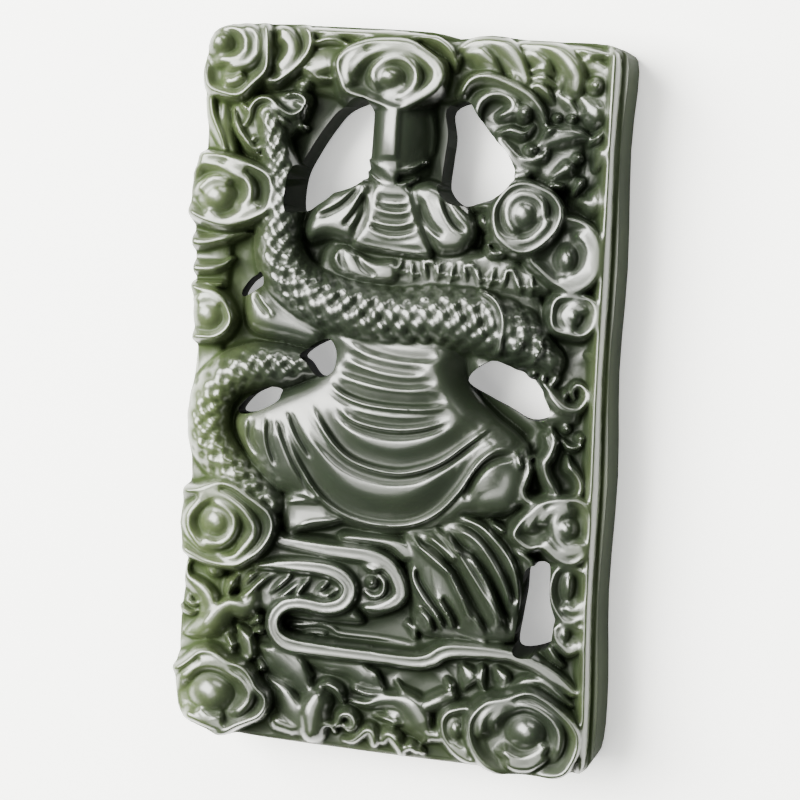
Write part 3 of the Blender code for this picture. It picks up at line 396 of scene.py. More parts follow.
def carveFigure(r):
    r.mound([(-6.4, 12.4), (-3, 13.4), (5, 13.4), (9, 12.6), (12.6, 9.6), (12.5, 4.5), (6, 1), (-6, 1),
             (-6.6, 6)], 5.7, 6.5, 2.0)
    # sleeve behind the dragon
    r.mound([(-13.3, 8.1), (-12.3, 9.1), (-10, 8.4), (-6, 6), (-6.5, 4), (-9.5, 4.3), (-12.8, 5.2)],
            5.6, 7.3, 1.8)
    r.ridge([(-12.6, 8.4), (-11.9, 7.4), (-10.9, 6.4)], -0.45, 0.35, 0.3)
    r.ridge([(-12.2, 8.6), (-11.4, 7.2), (-10.4, 6.2)], 0.3, 0.3)
    # lap, with the far knee apart
    r.mound([(-10.4, -0.6), (-6.6, 1.4), (-5.2, 3.4), (-5.4, 6), (6, 6), (7, 2), (9.4, -0.6), (12, -2.6),
             (12.6, -5.5), (11.6, -8.6), (8, -9.8), (4, -11.0), (0.3, -11.7), (-4, -11.0), (-7.5, -9.4),
             (-10.4, -8.4), (-12.8, -5.4), (-13.6, -2.6)], 5.9, 8.4, 6.0)
    r.mound([(7.3, -7.2), (7.9, -5.4), (9.2, -4.2), (10.8, -3.9), (12.0, -4.8), (12.3, -6.6), (11.2, -8.8),
             (8.8, -9.3), (7.4, -8.6)], 6.4, 7.9, 2.2)
    # the waist and the lap turn away on the right
    r.ridge([(6.4, 6.5), (6.5, 3.6), (7.6, 1.4), (9.8, -0.6), (12.6, -2.6)], -1.0, 1.0, 2.8, 0.05)
    # folds of the robe, from the waist down: line, depth, roll, lines
    for line, depth, roll, lines in (
            ([(-3.8, 4.9), (-2.2, 4.2), (0.2, 3.7), (2.6, 3.6), (4.6, 3.9)], 0.26, 0.8, 0),
            ([(-4.2, 3.95), (-3.0, 3.2), (-1.5, 2.7), (0.2, 2.45), (2.0, 2.4), (3.6, 2.6)], 0.32, 0.9, 0),
            ([(-5.0, 2.5), (-3.6, 1.95), (-1.3, 1.5), (0.2, 1.3), (1.8, 1.3), (4.4, 1.8)], 0.42, 1.1, 0),
            ([(-5.4, 1.5), (-4.2, 0.5), (-2.6, -0.1), (-0.8, -0.35), (1.2, -0.4), (3.4, -0.25), (5.4, 0.2)],
             0.55, 1.3, 1),
            ([(-4.3, -0.8), (-3.2, -1.6), (-1.6, -2.05), (0.8, -2.2), (3.0, -1.9), (4.8, -1.3), (5.6, -0.6)],
             0.36, 0.9, 1),
            ([(-4.9, -0.7), (-4.2, -1.8), (-2.8, -2.65), (-0.8, -3.1), (1.0, -3.15), (3.0, -2.75),
              (4.8, -1.9), (5.9, -0.7)], 0.3, 0.5, 0),
            ([(-6.9, -0.3), (-6.0, -1.9), (-4.8, -3.6), (-3.4, -4.9), (-1.6, -5.6), (0.8, -5.9), (2.8, -5.5),
              (4.8, -4.6), (6.8, -3.0), (8.4, -1.7), (9.6, -1.0)], 0.55, 2.0, 1),
            ([(-7.3, -2.2), (-6.2, -4.0), (-4.6, -5.5), (-2.8, -6.5), (-0.6, -7.0), (1.2, -7.0), (3.2, -6.5),
              (5.4, -5.1), (7.4, -3.4), (9.0, -2.2), (10.2, -1.8)], 0.36, 0.6, 0),
            ([(-9.3, -1.6), (-8.6, -4.0), (-7.2, -6.6), (-5.4, -8.8), (-3.2, -10.1), (-0.4, -10.6),
              (2.4, -10.3), (4.6, -9.0), (6.4, -6.8), (7.8, -4.6), (9.4, -3.2), (11.2, -2.6)], 0.55, 2.4, 1)):
        r.fold(line, 1.35 * depth, roll, lines)
    r.ridge([(7.0, -8.4), (7.2, -7.2), (7.7, -6.0), (8.6, -4.9), (9.8, -4.2), (11.4, -3.9)], -0.8, 0.4, 0.6)
    for line in ([(-10.0, -2.2), (-8.6, -5.3), (-6.9, -8.2)], [(-10.7, -2.2), (-10.6, -4.6), (-9.8, -6.8)],
                 [(-12.3, -2.4), (-12.4, -4.4), (-11.4, -6.0)], [(-9.0, -1.5), (-7.9, -3.8), (-6.5, -5.9)]):
        r.ridge(line, -0.42, 0.5, 0.22)
        r.ridge(beside(line, -0.3), 0.26, 0.2, 0.2, 0.2, 1)
    # neck and head in its cloth: a block with a facet down each side, and rolled bands below
    r.blade([(-0.1, 21.0), (-0.5, 17.4)], [2.9, 2.6], 5.2, 2.3, -0.3, 1.8, 2.2)
    r.blade([(0.1, 25.2), (0.15, 23), (-0.05, 20.2)], [2.95, 3.05, 2.85], 5.0, 3.2, -0.13, 1.6, 5.0)
    r.ridge([(2.55, 24.6), (2.85, 22.6), (2.7, 20.8)], 0.4, 0.35, 0.3, 0.15)
    r.ridge([(-0.40, 24.8), (-0.45, 20.2)], 0.4, 0.35, 2.4, 0.06)
    for line, widths, height in (
            ([(-2.75, 20.25), (-1.9, 19.55), (-0.6, 19.25), (0.9, 19.55), (2.3, 20.4)],
             [0.2, 0.5, 0.5, 0.35, 0.1], 1.7),
            ([(-2.8, 19.3), (-1.9, 18.45), (-0.6, 18.1), (0.6, 18.35), (1.6, 18.9)],
             [0.15, 0.35, 0.35, 0.3, 0.1], 1.5),
            ([(-2.7, 18.5), (-2.0, 17.85), (-0.6, 17.5), (0.9, 17.7)], [0.1, 0.25, 0.25, 0.1], 1.3)):
        r.blade(line, widths, 6.4, height, 0.2)
    # three falls of cloth on the shoulders
    r.mound([(-3.0, 18.7), (-4.4, 18.1), (-6, 17.4), (-7.3, 16.1), (-8.1, 14.3), (-7.6, 13.2), (-6.0, 13.5),
             (-3.9, 13.2), (-2.9, 15), (-2.2, 17.6)], 6.3, 7.8, 1.2)
    r.mound([(0.9, 17.8), (2.4, 18.7), (4.0, 18.2), (5.4, 17.0), (6.6, 15.8), (6.9, 14.4), (5.9, 12.9),
             (4.4, 12.5), (3.2, 12.9), (2.0, 15.2)], 6.3, 7.8, 1.2)
    r.mound([(-2.2, 18.2), (0.9, 18.2), (1.9, 15.6), (3.2, 12.5), (1.5, 12.2), (-1.5, 12.5), (-3.9, 13.0),
             (-2.9, 15.2)], 6.7, 7.7, 0.7)
    for line, depth in (([(-2.1, 17.3), (-1.2, 16.95), (0.2, 16.95), (0.9, 17.2)], 0.3),
                        ([(-2.1, 16.8), (-1.2, 16.3), (0.2, 16.2), (1.1, 16.6)], 0.34),
                        ([(-2.5, 15.5), (-1.4, 15.2), (0.2, 15.15), (1.4, 15.6)], 0.34),
                        ([(-2.7, 15.0), (-1.6, 14.35), (-0.2, 14.15), (1.0, 14.4), (2.0, 14.9)], 0.36),
                        ([(-3.7, 13.4), (-1.5, 13.0), (1.0, 12.8), (3.0, 12.7)], 0.3)):
        r.fold(line, depth, 0.5, 1)
    for line in ([(-7.4, 15.1), (-5.9, 15.7), (-4.7, 16.5), (-3.2, 18.2)],
                 [(-4.9, 14.4), (-3.9, 15.6), (-2.9, 17.4)],
                 [(-2.9, 17.6), (-3.0, 16.0), (-3.9, 13.8)]):
        r.ridge(line, -0.45, 0.25, 0.45)
        r.ridge(beside(line, 0.28), 0.25, 0.2, 0.2, 0.2, 1)
    for line in ([(1.75, 17.2), (2.2, 15.7), (3.0, 14.6), (4.1, 13.9)],
                 [(3.7, 17.4), (4.3, 16.0), (5.0, 15.0), (6.0, 14.4)]):
        r.ridge(line, -0.5, 0.5, 0.25)
        r.ridge(beside(line, -0.3), 0.28, 0.22, 0.22, 0.2, 1)
    # collar under the cloth, and a belt of small blocks
    r.mound([(-5.7, 11.9), (-4.9, 12.8), (-3.8, 12.6), (-2, 11.8), (0, 11.6), (0, 10.0), (-2.4, 9.9),
             (-4.4, 10.3), (-5.4, 11)], 6.6, 7.4, 0.6)
    for line in ([(-4.8, 12.7), (-4.9, 11.6), (-4.3, 10.5)], [(-3.6, 12.2), (-2.8, 11.0), (-1.6, 10.3)]):
        r.ridge(line, -0.4, 0.4, 0.2)
    r.mound([(-1.6, 11.9), (4, 12.3), (9, 12.8), (12.8, 10.8), (13.0, 9.8), (9, 9.6), (4, 9.8), (-1.2, 9.9)],
            6.2, 6.7, 0.5)
    for k in range(12):
        x, y = -0.9 + 1.15 * k, 11.0 + 0.08 * k - 0.012 * k * k + 0.15 * math.sin(2.3 * k)
        lean, hook = 0.25 * math.sin(1.7 * k), 0.6 * math.cos(2.1 * k)
        r.blade([(x + lean, y + 0.8), (x, y), (x - lean, y - 0.75)], [0.16, 0.3, 0.16], 6.2, 1.2)
        r.blade([(x, y + hook), (x + 0.7, y + hook + 0.1), (x + 0.75, y + 0.3 * hook - 0.2)],
                [0.2, 0.24, 0.12], 6.2, 1.1)


def carveRocks(r):
    r.mound([(2.0, -11.5), (4.2, -10.9), (6.0, -9.9), (9.4, -9.8), (11.6, -11.2), (13.5, -12.6),
             (13.4, -14.5), (12.8, -17.4), (12.0, -20.0), (7, -20.4), (3.6, -20.0), (2.9, -17.5),
             (2.4, -14.5)], 5.9, 7.9, 5.0)
    r.mound([(-1.6, -11.9), (1.8, -12.1), (3.0, -13.4), (2.0, -14.0), (0.4, -13.0), (-3.6, -12.6),
             (-3.4, -12.1)], 6.2, 6.9, 0.4)
    for line in ([(2.5, -11.6), (3.6, -12.7), (5.4, -14.0), (6.2, -14.4), (7.4, -16.4), (9.5, -19.8)],
                 [(4.0, -11.4), (5.4, -12.4), (6.6, -13.4)], [(4.4, -10.9), (5.8, -12.0), (7.0, -12.8)],
                 [(4.9, -10.7), (6.6, -12.2), (8.2, -13.8), (10.2, -17.0), (11.2, -19.6)],
                 [(5.6, -11.5), (7.6, -13.9), (9.8, -17.2), (10.6, -19.4)],
                 [(6.2, -10.6), (7.6, -11.0), (9.0, -12.2), (10.6, -14.6), (11.6, -17.0)],
                 [(6.2, -9.9), (8.2, -10.0), (10.0, -11.4), (11.4, -13.2), (12.0, -15.4), (12.0, -17.9)],
                 [(11.2, -11.9), (12.8, -12.6), (13.3, -13.4), (13.2, -15.4), (12.8, -17.0)],
                 [(2.8, -14.2), (2.9, -15.4), (3.8, -16.8), (5.0, -18.2), (5.8, -19.6)],
                 [(3.4, -17.9), (4.3, -18.6), (4.8, -19.9)], [(5.1, -16.8), (6.2, -18.4), (6.6, -19.4)],
                 [(2.4, -19.2), (3.2, -20.0), (3.4, -20.9)], [(3.4, -12.2), (5.2, -13.4), (6.6, -15.6),
                                                              (8.2, -18.6)],
                 [(7.4, -12.4), (9.2, -14.8), (10.4, -17.4), (11.2, -18.6)]):
        r.ridge(line, 0.75, 0.34, 0.55, 0.12)
        r.ridge(beside(line, 0.42), -0.6, 0.4, 0.28, 0.12, 1)
    r.blade([(7.0, -19.8), (9.4, -20.2)], [0.25, 0.25], 6.2, 0.8)
    # broken ground left of the lap
    r.mound([(-8.9, -9.1), (-5.7, -9.1), (-4.6, -10.2), (-3.4, -10.9), (-6.4, -11.9), (-8.8, -12.4)],
            6.0, 6.8, 0.8)
    for line in ([(-8.6, -9.05), (-7.0, -8.95), (-5.6, -9.15)], [(-8.9, -9.7), (-7.4, -9.4), (-5.6, -9.4)],
                 [(-7.9, -12.0), (-6.6, -11.3), (-3.6, -10.8)], [(-8.6, -12.5), (-5.6, -12.6)],
                 [(-7.4, -12.0), (-6.0, -11.8), (-4.0, -11.2)]):
        r.ridge(line, 0.5, 0.25, 0.3)


def carveDragon(r):
    body = r.blade([(-11.8, 23.6), (-11.1, 21), (-10.4, 18), (-10.5, 15), (-10.5, 12.3), (-9.4, 9.9),
                    (-7.2, 8.3), (-4, 7.4), (0, 6.9), (4, 7.3), (8, 7), (11, 5.9), (13.6, 4.2)],
                   [1.3, 1.6, 1.9, 2.1, 2.4, 2.6, 2.8, 2.9, 2.9, 3.0, 3.0, 2.8, 1.5], 6.0, 2.7, 0, 2.8, 2.8)
    r.scales(body, 1.5, 4.4, 0.62)
    coil = r.blade([(-7, 2.5), (-9.5, 2.2), (-12, 2.0), (-14.4, 1.1), (-15.9, -0.6), (-16.4, -2.6),
                    (-16.2, -4.6), (-15, -6.4), (-13, -8.2), (-10.4, -10)],
                   [1.2, 1.9, 2.1, 2.1, 2.1, 2.1, 2.1, 2.0, 1.9, 1.6], 5.9, 2.1, 0, 2.6, 2.6)
    r.scales(coil, 1.5, 3.4, 0.6)
    # a fin and short spines where the body turns under the clouds
    r.blade([(7.5, 9.65), (8.6, 9.0), (9.3, 7.8), (9.4, 6.2), (9.2, 4.6)], [0.2, 0.4, 0.45, 0.4, 0.3],
            8.0, 1.2)
    for line, width in (([(10.9, 6.0), (10.9, 5.0), (10.0, 4.5)], 0.35),
                        ([(13.1, 6.5), (12.7, 5.6), (13.0, 4.8)], 0.3),
                        ([(12.2, 3.6), (12.3, 4.4), (12.8, 4.7)], 0.25)):
        r.ridge(line, 0.9, width, None, 0.3)
    # mane beside the neck
    r.mound([(-15.0, 24.8), (-12.0, 25.6), (-8.4, 25.8), (-8.2, 24.2), (-9.6, 22.0), (-11.6, 20.2),
             (-13.6, 20.6), (-14.8, 22.6)], 6.0, 6.9, 1.2)
    r.blade([(-10.4, 25.4), (-9.3, 25.5), (-8.5, 24.9), (-8.9, 24.1), (-9.8, 23.7), (-10.8, 24.2),
             (-11.7, 24.95), (-12.6, 25.0), (-13.3, 24.4), (-13.5, 23.4), (-13.9, 22.7)],
            [0.2, 0.3, 0.35, 0.35, 0.35, 0.4, 0.4, 0.4, 0.35, 0.3, 0.2], 6.6, 1.2)
    r.blade([(-12.4, 24.0), (-12.6, 23.0), (-12.0, 22.4)], [0.4, 0.6, 0.3], 6.6, 0.7, 0.4)
    for line, width in (([(-9.7, 24.8), (-8.9, 24.6), (-8.6, 24.3)], 0.2),
                        ([(-11.0, 23.8), (-10.5, 23.2), (-9.8, 22.8)], 0.3),
                        ([(-11.6, 23.1), (-11.1, 22.4), (-10.4, 22.0)], 0.3),
                        ([(-14.9, 24.2), (-14.8, 23.2), (-14.2, 22.0), (-13.2, 20.8), (-12.0, 19.8)], 0.4),
                        ([(-14.4, 24.5), (-13.9, 24.2), (-13.8, 23.6)], 0.25),
                        ([(-9.0, 22.7), (-8.2, 22.9)], 0.25),
                        ([(-12.6, 20.9), (-11.9, 20.8), (-11.6, 20.3)], 0.3),
                        ([(-12.2, 22.2), (-11.6, 22.0), (-11.0, 21.4)], 0.3)):
        r.blade(line, [0.05, width, width, 0.05], 6.9, 0.9)
    for x, y in ((-13.0, 21.6), (-12.2, 21.9), (-12.6, 20.8), (-11.9, 21.1)):
        r.ball(x, y, 0.35, 0.3, 6.8, 0.7, 30)


# Head, horns and whiskers in the top right corner
def carveHead(r):
    r.mound([(6, 23.6), (8.4, 22.2), (9.9, 20.2), (12, 19.2), (15, 19), (15.6, 26), (12, 27.5), (8, 27.9),
             (5.2, 26.6)], 5.7, 6.5, 1.2)
    r.mound([(5.0, 28.6), (5.0, 30.6), (8.5, 31.0), (15, 30.8), (17, 29), (16.8, 24), (14, 26), (10.6, 27.0),
             (8, 28.0)], 5.8, 6.5, 1.0)
    r.tongues((
        # strands that sweep down from the top edge
        ([(5.0, 29.8), (6.3, 30.3), (7.9, 30.2), (9.2, 29.0), (10.1, 27.5)], [0.3, 0.6, 0.8, 0.7, 0.5],
         1.3, 0.55),
        ([(5.2, 29.3), (6.3, 29.3), (7.5, 28.5), (8.2, 27.9)], [0.2, 0.6, 0.5, 0.15], 1.2, 0.5),
        ([(9.9, 30.4), (12.0, 30.2), (13.6, 29.2), (14.5, 27.9), (14.5, 26.8)], [0.3, 0.6, 0.7, 0.8, 0.6],
         1.5, 0.1),
        ([(9.8, 29.7), (10.8, 29.3), (12.0, 28.6), (12.6, 27.9)], [0.2, 0.5, 0.45, 0.1], 1.2, 0.5),
        ([(10.8, 28.2), (11.7, 28.3), (12.6, 28.0)], [0.15, 0.3, 0.15], 1.2, 0.3),
        ([(10.7, 27.5), (11.7, 27.6), (12.8, 27.1)], [0.15, 0.3, 0.15], 1.2, 0.3),
        ([(10.5, 26.6), (11.2, 26.9), (12.0, 26.5), (12.8, 25.6)], [0.1, 0.35, 0.35, 0.1], 1.2, 0.3),
        ([(8.9, 28.2), (9.6, 27.4), (10.4, 27.0)], [0.1, 0.3, 0.15], 1.2, 0.0),
        ([(13.2, 28.6), (13.4, 27.6), (13.2, 26.6)], [0.1, 0.3, 0.1], 0.9, 0.0),
        ([(13.0, 26.4), (14.0, 25.6), (14.9, 24.7)], [0.15, 0.4, 0.2], 0.9, 0.4),
        # the great curl and the jaw
        ([(5.1, 26.1), (5.7, 27.0), (6.7, 27.4), (7.9, 27.2), (9.4, 26.6), (10.8, 25.8), (11.8, 24.6),
          (12.2, 23.6)], [0.3, 0.4, 0.45, 0.45, 0.45, 0.45, 0.4, 0.2], 1.6, 0.4),
        ([(6.7, 23.7), (6.3, 24.6), (6.6, 25.6), (7.5, 26.2), (8.6, 26.2), (9.5, 25.6), (9.6, 24.9),
          (9.0, 24.5), (8.4, 24.3)], [0.15, 0.35, 0.4, 0.4, 0.4, 0.4, 0.45, 0.5, 0.3], 1.4, -0.3),
        ([(8.2, 22.9), (9.3, 23.15), (10.4, 22.9), (11.2, 23.6)], [0.15, 0.35, 0.35, 0.15], 1.4, 0.2),
        ([(9.8, 21.6), (10.3, 21.0), (11.2, 20.8), (12.2, 21.3), (12.5, 22.0)], [0.1, 0.25, 0.25, 0.4, 0.15],
         1.2, 0.0),
        ([(8.5, 22.3), (9.6, 21.0), (10.4, 20.2), (11.6, 20.1)], [0.4, 0.6, 0.5, 0.3], 0.9, 0.0),
        ([(12.0, 22.6), (12.5, 23.2), (13.3, 23.7)], [0.15, 0.35, 0.1], 1.7, 0.2),
        ([(12.0, 22.2), (13.4, 22.9), (15.0, 23.1), (15.9, 22.9)], [0.4, 0.7, 0.6, 0.2], 1.2, 0.0),
        ([(11.6, 24.7), (12.0, 24.2), (12.2, 23.6)], [0.1, 0.25, 0.1], 1.1, 0.0),
        # curls down the right side
        ([(14.0, 30.1), (14.9, 29.9), (16.0, 29.7), (17.2, 29.6)], [0.1, 0.3, 0.3, 0.2], 1.2, 0.3),
        ([(14.7, 28.9), (15.4, 29.25), (16.3, 28.9)], [0.1, 0.3, 0.1], 1.2, 0.2),
        ([(15.0, 28.2), (15.4, 28.7), (16.4, 28.4), (17.1, 27.6), (17.0, 26.4), (16.2, 26.0), (15.5, 26.4)],
         [0.3, 0.5, 0.6, 0.5, 0.5, 0.5, 0.2], 1.0, 0.4),
        ([(15.5, 25.9), (16.4, 25.2), (17.5, 25.6)], [0.5, 1.0, 0.15], 1.4, -0.2),
        ([(16.0, 22.4), (16.6, 22.9), (17.1, 23.7)], [0.1, 0.3, 0.1], 1.2, 0.0),
        ([(16.7, 20.5), (17.1, 21.4), (17.8, 22.6)], [0.2, 0.6, 0.2], 1.4, 0.0),
        ([(15.7, 17.6), (16.6, 17.5), (17.0, 18.9)], [0.3, 0.8, 0.2], 1.2, 0.0),
        ([(12.9, 18.9), (13.8, 18.75)], [0.15, 0.2], 1.4, 0.0),
        ([(14.9, 18.3), (15.4, 19.2)], [0.15, 0.3], 1.2, 0.0),
        ([(9.8, 19.5), (10.9, 19.7)], [0.25, 0.25], 1.0, 0.0),
        ([(13.0, 19.5), (14.2, 20.3)], [0.2, 0.5], 1.2, 0.0)), 1.7, 6.2, 1.05)
    for cx, cy, rx, ry, height in ((10.35, 24.65, 0.75, 0.8, 1.6), (11.1, 21.65, 0.62, 0.5, 1.5),
                                   (16.15, 27.1, 0.75, 0.8, 1.5), (13.15, 24.4, 0.45, 0.32, 1.2),
                                   (14.4, 24.4, 0.45, 0.32, 1.2), (15.1, 21.2, 0.5, 0.4, 1.2)):
        r.ball(cx, cy, rx, ry, 6.6, height)


